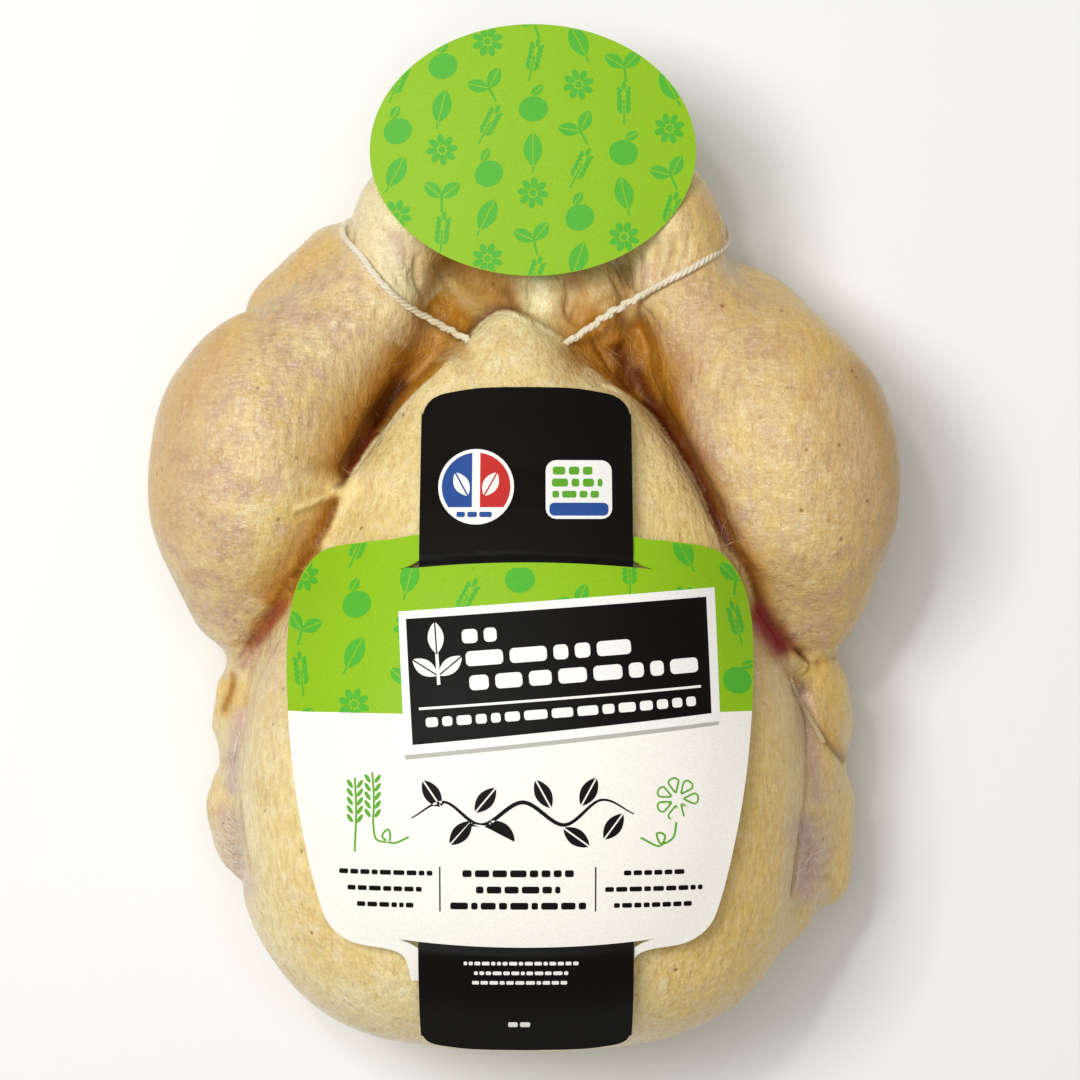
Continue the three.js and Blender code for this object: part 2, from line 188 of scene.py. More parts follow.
# Windows of the picture where the skin is worked most: left, top, right and bottom
WORKED_WINDOWS = (
    (330, 205, 740, 350), (250, 350, 476, 580), (560, 350, 700, 480), (660, 430, 780, 660),
    (775, 640, 850, 900), (205, 640, 300, 900),
)
WORKED_ABOVE = 35 * MM


def fine_skin():
    piece = bpy.data.objects.new("skin", cad["chicken"].data.copy())
    scene.collection.objects.link(piece)
    piece.data.materials.clear()
    edit(piece, (bpy.ops.mesh.remove_doubles, {"threshold": 0.01 * MM}))
    apply_modifier(piece, "SUBSURF", levels=1, render_levels=1)
    apply_modifier(piece, "REMESH", mode="VOXEL", voxel_size=SKIN_CELL)
    apply_modifier(piece, "SMOOTH", factor=0.5, iterations=SKIN_SMOOTHINGS)
    points = places(piece)
    x0, y0, x1, y1 = np.array(UNDER_PANEL) * MM
    x, y, z = points.T
    unseen = (z < UNSEEN_BELOW) | ((x > x0) & (x < x1) & (y > y0) & (y < y1) & (z > UNDER_PANEL_ABOVE))
    group = piece.vertex_groups.new(name="unseen")
    group.add(np.nonzero(unseen)[0].tolist(), 1.0, "REPLACE")
    apply_modifier(piece, "DECIMATE", ratio=KEPT_SHARE, vertex_group="unseen")
    piece.vertex_groups.clear()
    return piece


def shown_at(points):
    """The pixels at which the camera sees some places, as an array with a third column of zeros."""
    scale = VIEW_DISTANCE / VIEW_WIDTH * IMAGE / (CAMERA.z - points[:, 2])
    across = IMAGE / 2 + (points[:, 0] - CAMERA.x) * scale
    down = IMAGE / 2 - (points[:, 1] - CAMERA.y) * scale
    return np.stack([across, down, np.zeros(len(points))], axis=1)


def refine(piece):
    """Divides the upper faces of a piece once more inside the worked windows."""
    select_only(piece)
    centres = np.empty(len(piece.data.polygons) * 3)
    piece.data.polygons.foreach_get("center", centres)
    centres = centres.reshape(-1, 3)
    spots = shown_at(centres)
    chosen = np.zeros(len(centres), bool)
    for x0, y0, x1, y1 in WORKED_WINDOWS:
        chosen |= (spots[:, 0] > x0) & (spots[:, 0] < x1) & (spots[:, 1] > y0) & (spots[:, 1] < y1)
    chosen &= centres[:, 2] > WORKED_ABOVE
    bpy.ops.object.mode_set(mode="EDIT")
    bpy.ops.mesh.select_mode(type="FACE")
    bpy.ops.mesh.select_all(action="DESELECT")
    bpy.ops.object.mode_set(mode="OBJECT")
    piece.data.polygons.foreach_set("select", chosen)
    bpy.ops.object.mode_set(mode="EDIT")
    bpy.ops.mesh.subdivide(number_cuts=1, smoothness=0)
    bpy.ops.object.mode_set(mode="OBJECT")


skin = fine_skin()
refine(skin)
skin_tree = tree_of(skin)
skin_edges = np.empty(len(skin.data.edges) * 2, np.int32)
skin.data.edges.foreach_get("vertices", skin_edges)
skin_edges = skin_edges.reshape(-1, 2)


def averaged(values, rounds, share=0.5):
    """Values of the skin's corners, each drawn towards the mean of its neighbours for some rounds."""
    a, b = skin_edges[:, 0], skin_edges[:, 1]
    count = len(values)
    near = np.bincount(a, minlength=count) + np.bincount(b, minlength=count)
    values = values.copy()
    columns = values if values.ndim == 2 else values[:, None]
    for _ in range(rounds):
        for i in range(columns.shape[1]):
            column = columns[:, i]
            total = np.bincount(a, column[b], count) + np.bincount(b, column[a], count)
            columns[:, i] = column + share * (total / near - column)
    return values


def through(points, step):
    """A smooth route through a few pixels, with a point every few pixels."""
    points = [Vector(p) for p in points]
    if len(points) == 2:
        points = [points[0], points[0].lerp(points[1], 0.5), points[1]]
    ends = [points[0] * 2 - points[1], *points, points[-1] * 2 - points[-2]]
    route = []
    for p0, p1, p2, p3 in zip(ends, ends[1:], ends[2:], ends[3:]):
        count = max(1, round((p2 - p1).length / step))
        for i in range(count):
            t = i / count
            route.append(
                0.5 * ((2 * p1) + (p2 - p0) * t + (2 * p0 - 5 * p1 + 4 * p2 - p3) * t * t
                       + (3 * p1 - p0 - 3 * p2 + p3) * t ** 3)
            )
    return [*route, points[-1]]


RIM_HEIGHT = 30 * MM


def seen(px, py):
    """The place on the skin that a pixel shows, or the nearest one where it looks just past the bird."""
    way = sight(px, py)
    hit = skin_tree.ray_cast(CAMERA, way)[0]
    return hit or skin_tree.find_nearest(CAMERA + way * (CAMERA.z - RIM_HEIGHT) / -way.z)[0]


def on_skin(points):
    """The places on the skin that a route of pixels shows."""
    return np.array([seen(*p) for p in through(points, STROKE_STEP)])


def from_route(points, route):
    """Each point's distance from a route, its share of the way along it, the nearest place on it, and the
    side of it that the point lies on."""
    starts, ways = route[:-1], np.diff(route, axis=0)
    lengths = np.linalg.norm(ways, axis=1)
    before = np.concatenate([[0], np.cumsum(lengths)])
    best = np.full(len(points), 1e9)
    share = np.zeros(len(points))
    foot = np.zeros_like(points)
    side = np.zeros(len(points))
    for start, way, length, done in zip(starts, ways, lengths, before):
        if length < 1e-9:
            continue
        t = np.clip((points - start) @ way / length ** 2, 0, 1)
        nearest = start + t[:, None] * way
        away = np.linalg.norm(points - nearest, axis=1)
        closer = away < best
        best[closer] = away[closer]
        share[closer] = (done + t[closer] * length) / before[-1]
        foot[closer] = nearest[closer]
        off = (points - nearest)[closer]
        side[closer] = np.sign(way[0] * off[:, 1] - way[1] * off[:, 0])
    return best, share, foot, side


def faded(share, ends):
    """A stroke's strength along its length, which falls off over a share of it at each end."""
    return smoothstep(share / ends) * smoothstep((1 - share) / ends) if ends else 1


# A stroke's points on the picture are some pixels apart, and it reaches over some of its widths
STROKE_STEP = 8
SOFT_REACH = 2.4
SHARP_REACH = 3.4
PINCH_REACH = 2.2
PAINT_REACH = 2.2
PINCHED_ABOVE = 30 * MM
# Paint fades out where the skin turns away from the camera, and over some millimetres past a one-sided route
TURNED_AWAY = -0.7
TURNED_FADE = 0.6
SIDE_FADE = 0.6


class Skin:
    """The skin's corners while they are worked, and the colour layers that are painted on them."""

    # Brown is painted shade; amber is painted shade and bounce light, with some of the skin's own tone
    LAYERS = ("rosy", "amber", "brown", "meat", "lilac", "yellow", "pale")

    def __init__(self):
        self.points = places(skin)
        self.normals = normals(skin)
        self.layers = {name: np.zeros(len(self.points)) for name in self.LAYERS}
        self.shown = shown_at(self.points)

    def settle(self):
        """Takes the normals again after a few strokes."""
        set_places(skin, self.points)
        self.normals = averaged(normals(skin), 2)
        self.shown = shown_at(self.points)

    def near(self, route, reach):
        low, high = route.min(0) - reach, route.max(0) + reach
        chosen = np.nonzero(((self.points > low) & (self.points < high)).all(1))[0]
        away, share, _, _ = from_route(self.points[chosen], route)
        kept = away < reach
        return chosen[kept], away[kept], share[kept]

    def press(self, pixels, width, depth, ends=0.15, power=2):
        """A crease along a route, or a raised fold where the depth is negative, both in millimetres.
        A low power makes it sharp along its middle."""
        reach = width * (SOFT_REACH if power == 2 else SHARP_REACH) * MM
        chosen, away, share = self.near(on_skin(pixels), reach)
        push = depth * MM * np.exp(-(away / (width * MM)) ** power) * faded(share, ends)
        self.points[chosen] -= self.normals[chosen] * push[:, None]

    def press_all(self, strokes):
        """Presses strokes in one after another, and then settles."""
        for stroke in strokes:
            self.press(*stroke)
        self.settle()

    def pinch(self, pixels, width, strength, ends=0.15):
        """Draws the skin on both sides of a route together in plan, so that a valley becomes a crease."""
        route = on_skin(pixels)[:, :2]
        reach = width * PINCH_REACH * MM
        low, high = route.min(0) - reach, route.max(0) + reach
        plan = self.points[:, :2]
        chosen = ((plan > low) & (plan < high)).all(1) & (self.points[:, 2] > PINCHED_ABOVE)
        chosen = np.nonzero(chosen)[0]
        away, share, foot, _ = from_route(plan[chosen], route)
        pull = strength * np.exp(-(away / (width * MM)) ** 2) * faded(share, ends)
        self.points[chosen, :2] += (foot - plan[chosen]) * pull[:, None]

    def paint(self, layer, pixels, width, strength, ends=0.15, side=0):
        """A stroke of a layer as the camera sees it, in millimetres. A side of 1 keeps it to the right of the
        route as it is drawn in the picture, and -1 to the left."""
        route = np.array([(*p, 0.0) for p in through(pixels, STROKE_STEP)])
        reach = width * PAINT_REACH / PIXEL
        low, high = route.min(0)[:2] - reach, route.max(0)[:2] + reach
        spots = self.shown[:, :2]
        chosen = ((spots > low) & (spots < high)).all(1) & (self.normals[:, 2] > TURNED_AWAY)
        chosen = np.nonzero(chosen)[0]
        away, share, _, sides = from_route(self.shown[chosen], route)
        value = strength * np.exp(-(away * PIXEL / width) ** 2) * faded(share, ends)
        value *= smoothstep((self.normals[chosen, 2] - TURNED_AWAY) / TURNED_FADE)
        if side:
            value *= smoothstep(0.5 + sides * side * away * PIXEL / SIDE_FADE)
        self.layers[layer][chosen] = np.maximum(self.layers[layer][chosen], value)

    def wipe(self, layers, pixels, width, side=-1):
        """Takes layers away along a route, as it is drawn in the picture: on its left, or with a side of 0
        on both sides."""
        self.layers["wiped"] = np.zeros(len(self.points))
        self.paint("wiped", pixels, width, 1.0, 0.05, side)
        left = 1 - smoothstep(self.layers.pop("wiped") * (2 if side else 1.2))
        for layer in layers:
            self.layers[layer] *= left

    def dab(self, layer, px, py, width, strength):
        """A soft round patch of a layer, or of height where the layer is called "up"."""
        middle = on_skin([(px, py), (px + 1, py)])[0]
        away = np.linalg.norm(self.points - middle, axis=1)
        value = strength * np.exp(-(away / (width * MM)) ** 2)
        if layer == "up":
            self.points += self.normals * (value * MM)[:, None]
        else:
            self.layers[layer] = np.maximum(self.layers[layer], value)


work = Skin()

# Swellings: a place in the picture, then a width and a height in millimetres
SWELLINGS = (
    # The outer thighs run on into the calves without a notch
    (254, 302, 10, 5.0), (236, 322, 9, 1.6), (292, 250, 7, -1.5), (789, 308, 11, 4.2), (812, 330, 10, 1.4),
    (758, 276, 7, -1.0), (718, 236, 7, 1.8),
    # The wrists of the wings stand out a little
    (214, 806, 7, 1.7), (218, 850, 8, 2.3), (218, 764, 4, 1.0), (838, 890, 7, 1.8),
)
for px, py, width, rise in SWELLINGS:
    work.dab("up", px, py, width, rise)
work.settle()

# The edges of the breast, and the creases under them, from the tip down along each leg
LEFT_EDGE = [
    (456, 352), (438, 372), (420, 388), (400, 409), (384, 430), (370, 445), (360, 461), (349, 477), (342, 496),
    (333, 518),
]
LEFT_CREASE = [(444, 350), (412, 376), (393, 397), (379, 420), (364, 442), (350, 464), (340, 482)]
RIGHT_EDGE = [
    (580, 362), (600, 374), (617, 388), (640, 404), (657, 420), (672, 443), (690, 471), (704, 500), (714, 526),
    (726, 548), (742, 566), (752, 596), (758, 622), (768, 646),
]
RIGHT_SHOULDER = [(px - 6, py + 3) for px, py in RIGHT_EDGE[1:10]]
RIGHT_CREASE = [
    (622, 352), (632, 376), (648, 400), (666, 426), (681, 450), (697, 476), (710, 502), (720, 527), (732, 549),
    (746, 568), (757, 594), (764, 618),
]
LEFT_UNDER = [(322, 540), (300, 572), (280, 602), (258, 632), (238, 657)]
RIGHT_UNDER = [(744, 566), (764, 608), (784, 636), (812, 664)]
TIP_EDGE = [(466, 350), (473, 333), (485, 319), (500, 311), (514, 312), (528, 321), (546, 329), (566, 340)]

# Each stroke has its route in the picture, then its width, depth, fading ends and power, as press takes them.
# The large creases lie between each leg and the breast, whose edge stands over them.
LEG_VALLEYS = (
    ([(448, 344), (420, 366), (394, 392), (372, 422), (354, 454), (340, 484)], 3.6, 3.5, 0.25),
    ([(604, 346), (628, 376), (652, 404), (676, 436), (697, 474), (716, 518), (740, 562)], 3.6, 3.5, 0.25),
)
LEG_PINCHES = (
    ([(452, 342), (422, 368), (396, 394), (376, 421), (357, 454), (341, 482)], 11, 0.62, 0.12),
    ([(612, 368), (644, 398), (672, 430), (696, 472), (716, 514), (738, 558), (760, 606)], 10, 0.6, 0.12),
)
LEG_CREASES = (
    (LEFT_CREASE, 1.5, 3.0, 0.1, 1.4),
    (RIGHT_CREASE, 1.5, 2.8, 0.1, 1.4),
    (LEFT_UNDER, 1.8, 3.4, 0.1, 1.3),
    (RIGHT_UNDER, 1.8, 2.6, 0.1, 1.3),
    (LEFT_EDGE[1:], 1.1, -0.3, 0.1),
    (RIGHT_SHOULDER, 1.8, -0.9, 0.1),
)
# The tip of the breast stands over the hollow behind it
TIP_FOLDS = (
    ([(462, 342), (470, 326), (484, 311), (500, 303), (516, 304), (532, 315)], 1.5, 1.8, 0.2, 1.4),
    (TIP_EDGE, 1.2, -0.7, 0.2),
)
# Under the oval label: the hollow beside the left hock, the pale flap in the middle and the lobe beside it
FLAP_FOLDS = (
    ([(458, 262), (482, 286), (512, 306)], 4.5, 3.0, 0.2),
    ([(519, 272), (521, 294), (524, 316)], 1.6, 2.6, 0.1, 1.5),
    ([(545, 272), (548, 296), (552, 322)], 4.0, -2.2, 0.2),
    ([(575, 276), (578, 300), (572, 326)], 1.6, 2.4, 0.1, 1.5),
    ([(606, 300), (612, 330), (618, 352)], 2.4, -1.6, 0.2),
    ([(590, 330), (604, 352), (618, 372)], 1.4, 1.8, 0.2),
    ([(630, 316), (640, 340), (652, 372), (664, 402)], 1.6, 2.6, 0.15, 1.5),
)
# A fold of skin drawn across from the breast to the leg, and the folds below it
WEB_FOLD = (([(346, 487), (330, 493), (312, 501), (288, 512)], 1.4, -1.3, 0.25),)
FOLDS_BELOW_WEB = (
    ([(338, 496), (329, 518), (315, 542), (303, 562)], 1.3, 2.2, 0.2, 1.4),
    ([(342, 496), (334, 518), (320, 544), (308, 562)], 1.0, -0.5, 0.2),
    ([(300, 548), (276, 578), (252, 604)], 1.6, 0.45),
    ([(280, 556), (258, 584), (238, 606)], 1.6, 0.4),
)
# Lengthwise folds of the hock lumps, and short folds across the legs where the string draws them in
HOCK_FOLDS = [(route, width, depth, 0.2, 1.5) for route, width, depth in (
    ([(417, 250), (418, 280), (426, 308)], 1.0, 1.6),
    ([(400, 232), (408, 262), (414, 292)], 0.8, 0.7),
    ([(432, 258), (446, 280), (462, 300)], 1.2, 1.2),
    ([(366, 250), (376, 272), (390, 292)], 0.8, 0.6),
    ([(376, 236), (390, 262), (404, 296)], 0.7, 0.5),
    ([(368, 214), (386, 236), (396, 252)], 0.8, 0.6),
    ([(674, 232), (675, 251), (663, 275), (657, 286)], 0.9, 1.5),
    ([(658, 236), (656, 262), (653, 288)], 0.9, 1.4),
    ([(690, 226), (688, 250), (676, 276)], 0.9, 0.7),
    ([(640, 250), (640, 272), (642, 292)], 0.9, 0.7),
    ([(608, 264), (615, 282), (623, 300)], 0.9, 1.5),
    ([(614, 262), (621, 280), (630, 296)], 0.8, -0.7),
    ([(572, 274), (570, 296), (566, 318)], 1.4, 1.6),
)]
STRING_FOLDS = [([start, end], 0.8, 0.45, 0.35) for start, end in (
    ((350, 266), (330, 268)), ((354, 274), (330, 279)), ((362, 286), (338, 291)), ((376, 296), (354, 304)),
    ((390, 304), (372, 315)), ((404, 312), (392, 326)), ((700, 276), (724, 286)), ((686, 284), (708, 295)),
    ((670, 291), (690, 306)), ((656, 298), (674, 316)), ((642, 304), (656, 324)),
)]
# The wings: the lump above the string's end, the line where each wing meets the body, and wrinkled wrists
RIGHT_WING_LINE = [(793, 668), (806, 705), (809, 745), (807, 790), (800, 845), (791, 905)]
LEFT_WING_LINE = [(262, 634), (250, 672), (243, 720), (240, 780), (245, 840), (254, 884)]
WING_FOLDS = [
    ([(792, 648), (799, 660), (806, 672)], 2.6, -2.0),
    ([(786, 640), (800, 652), (812, 664)], 1.2, 1.1, 0.2, 1.4),
    ([(812, 664), (828, 659), (848, 652)], 1.0, 0.7, 0.1, 1.3),
    ([(780, 660), (790, 676), (800, 694)], 1.2, 1.2, 0.2, 1.4),
    (RIGHT_WING_LINE, 1.1, 1.3, 0.08, 1.3),
    ([(797, 690), (812, 718), (828, 744), (846, 764)], 1.4, 1.4, 0.1, 1.4),
    ([(806, 690), (826, 732), (846, 758)], 3.0, -1.0),
    ([(792, 900), (812, 893), (836, 884)], 1.6, -1.0),
    (LEFT_WING_LINE, 1.1, 1.3, 0.08, 1.3),
    ([(236, 668), (229, 696), (222, 726)], 1.2, 1.0, 0.2, 1.4),
    ([(224, 660), (218, 700), (214, 740)], 2.0, -0.8),
    ([(214, 772), (226, 764), (238, 760)], 1.5, 1.4),
]
WRIST_WRINKLES = 7
WRINKLE_PITCH = 12
for step in range(WRIST_WRINKLES):
    low = 815 + WRINKLE_PITCH * step
    WING_FOLDS += [
        ([(214 + 2 * step, low), (226 + step, low + 7), (244, low + 2)], 0.8, 0.6, 0.2),
        ([(800, low), (818, low + 6), (834, low - 3)], 0.8, 0.5, 0.2),
        ([(812, low - 4), (808, low + 6)], 0.7, 0.4, 0.3),
        ([(230, low - 4), (233, low + 8)], 0.7, 0.4, 0.3),
    ]
# The string presses in, and the flesh stands up beside it
LEFT_STRING = [(352, 226), (354, 250), (359, 270), (374, 282), (396, 299), (423, 313), (448, 328), (468, 343)]
RIGHT_STRING = [(722, 258), (699, 269), (674, 282), (649, 293), (627, 305), (603, 321), (572, 341)]
STRING_DENTS = (
    (LEFT_STRING, 5.0, -1.0), (LEFT_STRING, 1.8, 1.3), (RIGHT_STRING, 5.0, -1.0), (RIGHT_STRING, 1.8, 1.3),
)

work.press_all(LEG_VALLEYS)
for route, width, strength, ends in LEG_PINCHES:
    work.pinch(route, width, strength, ends)
work.settle()
for folds in (LEG_CREASES, TIP_FOLDS, FLAP_FOLDS, WEB_FOLD):
    work.press_all(folds)
work.press_all([*FOLDS_BELOW_WEB, *HOCK_FOLDS, *STRING_FOLDS, *WING_FOLDS])
work.press_all(STRING_DENTS)

# Swollen follicles near the creases, some 4 mm apart, with light yellow tops. Each field has its first
# corner, its steps along and across in the picture, and its rows and columns.
FOLLICLE_FIELDS = (
    ((676, 452), (3, 15), (15, 4), 7, 4), ((300, 330), (14, -4), (4, 15), 5, 5),
    ((250, 420), (16, 3), (3, 17), 5, 6), ((722, 330), (15, 6), (-4, 16), 6, 5),
    ((770, 470), (15, 3), (3, 17), 5, 6), ((255, 250), (15, -3), (3, 14), 3, 5),
)
draw = random.Random(7)
for corner, along, across, rows, columns in FOLLICLE_FIELDS:
    for i in range(rows):
        for j in range(columns):
            px = corner[0] + i * along[0] + j * across[0] + draw.uniform(-6, 6)
            py = corner[1] + i * along[1] + j * across[1] + draw.uniform(-6, 6)
            work.dab("up", px, py, draw.uniform(0.9, 1.5), draw.uniform(0.15, 0.55))
            work.dab("pale", px, py, draw.uniform(0.7, 1.3), draw.uniform(0.1, 0.7))
work.settle()


def rough(points, pitch, seed):
    """Smooth noise at some places, with a pitch in millimetres."""
    offset = Vector((seed * 3.1, seed * 1.7, seed * 2.3))
    return np.array([noise.noise(Vector(p) / (pitch * MM) + offset) for p in points])


# Uneven flesh all over: a pitch and a height in millimetres, and a seed
for pitch, height, seed in ((22, 0.55, 1), (7, 0.22, 2)):
    work.points += work.normals * (rough(work.points, pitch, seed) * height * MM)[:, None]
work.settle()

# Strokes of the colour layers, as the camera sees them: a layer, a route, and what paint takes after them
# Legs: yellow and amber along the outer sides are partly own colour, partly painted shade where they turn from
# light
LEG_PAINT = (
    ("rosy", [(340, 285), (285, 330), (232, 420), (222, 520), (246, 600)], 24, 1.0, 0),
    ("rosy", [(380, 262), (395, 285)], 10, 0.5, 0),
    ("rosy", [(680, 300), (740, 350), (800, 440), (820, 540), (812, 620)], 23, 0.9, 0),
    ("rosy", [(668, 330), (692, 400), (722, 470), (748, 530)], 11, 1.0, 0),
    ("yellow", [(350, 240), (300, 258), (240, 315), (185, 390), (156, 460), (153, 540)], 5, 0.8, 0.05),
    ("yellow", [(735, 268), (790, 298), (850, 362), (882, 420), (897, 490), (888, 560)], 7, 1.0, 0.05),
    ("yellow", [(868, 580), (852, 616), (842, 646)], 5, 1.0, 0),
    ("amber", [(706, 214), (712, 240)], 7, 0.3, 0),
    ("amber", [(700, 290), (750, 330), (800, 380), (850, 450), (852, 540), (820, 610)], 16, 0.2, 0),
    ("amber", [(340, 250), (260, 310), (190, 390), (168, 480), (190, 580)], 12, 0.16, 0),
    ("amber", [(850, 356), (884, 420), (898, 490), (888, 570)], 4.5, 0.5, 0.05),
    ("amber", [(212, 340), (186, 400), (180, 470)], 9, 0.22, 0),
    ("lilac", [(206, 370), (180, 430), (180, 500)], 8, 0.4, 0),
    ("lilac", [(838, 380), (858, 430), (862, 500)], 6, 0.4, 0),
    ("lilac", [(394, 238), (402, 254)], 2.2, 0.6, 0),
    ("lilac", [(640, 262), (650, 284)], 3.5, 0.5, 0.2),
    ("lilac", [(672, 350), (690, 410), (712, 456)], 4, 0.5, 0),
    ("lilac", [(700, 300), (690, 350)], 5, 0.4, 0),
    ("pale", [(368, 220), (388, 252), (418, 292)], 9, 0.9, 0),
    ("pale", [(664, 236), (650, 280)], 5, 0.6, 0),
)
# The left leg's inner flank in the crease: painted shade from amber to a dark brown right at the edge of the
# breast
LEFT_FLANK_PAINT = (
    ("amber", LEFT_EDGE[:9], 14, 0.9, 0.12, 1),
    ("amber", [(424, 322), (412, 346)], 7, 0.6, 0),
    ("amber", [(412, 346), (396, 372), (376, 402), (352, 436), (338, 474)], 8, 0.92, 0.05),
    ("amber", [(436, 340), (414, 366)], 8, 0.85, 0),
    ("amber", [(455, 262), (480, 284), (505, 300)], 9, 0.75, 0),
    ("amber", [(343, 494), (333, 518), (318, 546), (300, 572), (270, 612)], 6.5, 0.95, 0.05, 1),
    ("brown", LEFT_CREASE[1:], 3.0, 0.9, 0.2, 1),
    ("brown", LEFT_CREASE[1:], 1.5, 1.0, 0.1),
    ("brown", [(384, 430), (370, 445), (360, 461), (349, 477), (345, 486)], 2.6, 1.0, 0.1, 1),
    ("brown", [(341, 494), (333, 518), (319, 544), (302, 570), (284, 598)], 1.3, 0.95, 0.1, 1),
    ("brown", [(350, 474), (342, 484), (334, 490)], 1.1, 0.9, 0.2),
    ("yellow", [(330, 500), (300, 530), (270, 570)], 8, 0.7, 0),
    ("meat", [(288, 598), (270, 624), (254, 648)], 1.2, 0.7, 0.1),
    ("meat", [(258, 642), (248, 656), (238, 672)], 1.4, 0.45, 0.2),
    ("brown", [(288, 592), (268, 618), (250, 642), (236, 662)], 0.6, 0.8, 0.1),
)
# Painted shade in the hollow behind the tip of the breast and under its edge, with the flap
TIP_PAINT = (
    ("brown", TIP_EDGE[:6], 2.0, 0.8, 0.15, -1),
    ("amber", [(430, 296), (452, 318), (470, 336)], 7, 1.0, 0.1),
    ("amber", [(474, 268), (492, 290), (508, 306)], 8, 0.75, 0),
    ("amber", [(578, 276), (590, 300), (600, 318)], 6, 0.5, 0),
    ("brown", [(500, 284), (508, 298), (517, 308)], 1.6, 0.5, 0.3),
)
# The right leg's inner flank in the crease, painted shade in amber and dark brown, with bare meat in its lower
# end
RIGHT_FLANK_PAINT = (
    ("amber", RIGHT_EDGE, 5.5, 0.95, 0.05, -1),
    ("amber", [(596, 336), (620, 356), (648, 380)], 11, 1.0, 0),
    ("amber", [(640, 330), (656, 362), (668, 400), (676, 430)], 4.5, 1.0, 0),
    ("brown", [(612, 338), (623, 362), (638, 394)], 3.4, 0.85, 0.15),
    ("brown", [(632, 362), (644, 388), (658, 410)], 2.4, 0.9, 0.15),
    ("brown", [(636, 398), *RIGHT_EDGE[4:9], (728, 552)], 4.6, 1.0, 0.06, -1),
    ("brown", RIGHT_CREASE[2:10], 2.0, 1.0, 0.08),
    ("brown", [(728, 552), (744, 570), (754, 596), (758, 618)], 2.2, 0.9, 0.1, -1),
    ("meat", [(757, 616), (767, 632), (780, 648)], 3.2, 1.0, 0),
    ("meat", [(776, 646), (784, 664)], 1.6, 0.5, 0.3),
    ("brown", [(762, 602), (774, 622), (788, 640)], 1.8, 0.95, 0.1, 1),
    ("brown", [(786, 638), (798, 652), (812, 665)], 0.5, 0.9, 0.1),
    ("amber", [(812, 665), (828, 660), (848, 653)], 0.5, 0.8, 0.1),
)
# The wings: brown and amber along their lines and folds and under the right leg are painted shade; the rest is
# own colour
LEFT_WING_STRIP = [(243, 704), (238, 730), (233, 762), (232, 800)]
RIGHT_WING_STRIP = [(797, 676), (806, 712), (812, 756), (820, 812)]
WING_PAINT = [
    ("yellow", [(234, 676), (229, 700), (224, 722)], 4, 0.9, 0.2),
    ("amber", [(231, 668), (233, 684), (228, 700), (221, 716)], 0.9, 0.8, 0.15),
    ("brown", [(233, 680), (229, 696), (224, 708)], 0.3, 0.5, 0.2),
    ("brown", RIGHT_WING_LINE, 0.35, 0.35, 0.1),
    ("brown", LEFT_WING_LINE, 0.35, 0.4, 0.1),
    ("brown", [(800, 676), (808, 704), (820, 728), (832, 748), (846, 764)], 0.6, 0.7, 0.1),
    ("yellow", [(822, 670), (838, 700), (842, 740)], 5, 0.9, 0),
    ("yellow", [(840, 780), (846, 830), (836, 872)], 4, 0.8, 0),
    ("amber", [(800, 672), (812, 706), (832, 742), (848, 764)], 2.0, 0.45, 0.1, -1),
    ("pale", RIGHT_WING_STRIP, 2.4, 0.45, 0.1),
    ("pale", LEFT_WING_STRIP, 2.0, 0.5, 0.1),
    ("lilac", RIGHT_WING_STRIP, 2.4, 0.85, 0.1),
    ("lilac", LEFT_WING_STRIP, 2.0, 1.0, 0.1),
    ("lilac", [(806, 830), (812, 856), (806, 886)], 4.5, 1.0, 0),
    ("lilac", [(226, 816), (232, 856), (242, 884)], 3.6, 0.8, 0),
    ("meat", [(800, 830), (806, 858), (802, 890)], 3.0, 0.12, 0),
]
for step in range(WRIST_WRINKLES):
    low = 818 + WRINKLE_PITCH * step
    WING_PAINT += [
        ("pale", [(208 + 2 * step, low), (226 + step, low + 7), (244, low + 2)], 0.6, 1.0, 0.1),
        ("pale", [(802, low), (818, low + 6), (832, low - 3)], 0.6, 0.7, 0.2),
    ]
# Painted shade: the deeper folds of the hocks are amber along their middle
HOCK_PAINT = [("amber", fold[0], 0.4, 0.5, 0.3) for fold in HOCK_FOLDS if fold[2] > 1]
for painted in (LEG_PAINT, LEFT_FLANK_PAINT, TIP_PAINT, RIGHT_FLANK_PAINT, WING_PAINT, HOCK_PAINT):
    for stroke in painted:
        work.paint(*stroke)

# Uneven streaks and patches along the legs: fat shows light and yellow, and flesh lilac. Each field has its
# window in the picture and the streaks' lean.
STREAK_FIELDS = ((190, 290, 340, 620, -0.45), (715, 320, 880, 640, 0.38))
STREAKS = 90
for x0, y0, x1, y1, lean in STREAK_FIELDS:
    for i in range(STREAKS):
        px, py, run = draw.uniform(x0, x1), draw.uniform(y0, y1), draw.uniform(8, 30)
        end = (px + lean * run + draw.uniform(-4, 4), py + run)
        layer = ("yellow", "lilac", "pale", "lilac", "yellow")[i % 5]
        work.paint(layer, [(px, py), end], draw.uniform(0.8, 2.6), draw.uniform(0.2, 0.6), 0.4)

# Painted shade on the side away from the key lamp
# From 10 mm right of the middle the body turns a warmer yellow over 50 mm, less so on the leg
shaded_side = smoothstep((work.points[:, 0] / MM - 10) / 50)
work.layers["yellow"] = np.maximum(work.layers["yellow"], 0.85 * shaded_side * (1 - 0.8 * work.layers["rosy"]))
# Painted shade and bounce light: the deeper the hollow, the more amber and dark brown it is given
# Hollows come out warmer, as light goes from flesh to flesh in them: a gain on the depth, a start and a limit
HOLLOW_ROUNDS = 40
mean = averaged(work.points, HOLLOW_ROUNDS)
hollow = ((mean - work.points) * work.normals).sum(1) / MM
for name, gain, start, most in (("amber", 0.7, 0.12, 0.9), ("brown", 0.5, 1.0, 0.8)):
    work.layers[name] = np.maximum(work.layers[name], np.clip(hollow * gain - start, 0, most))
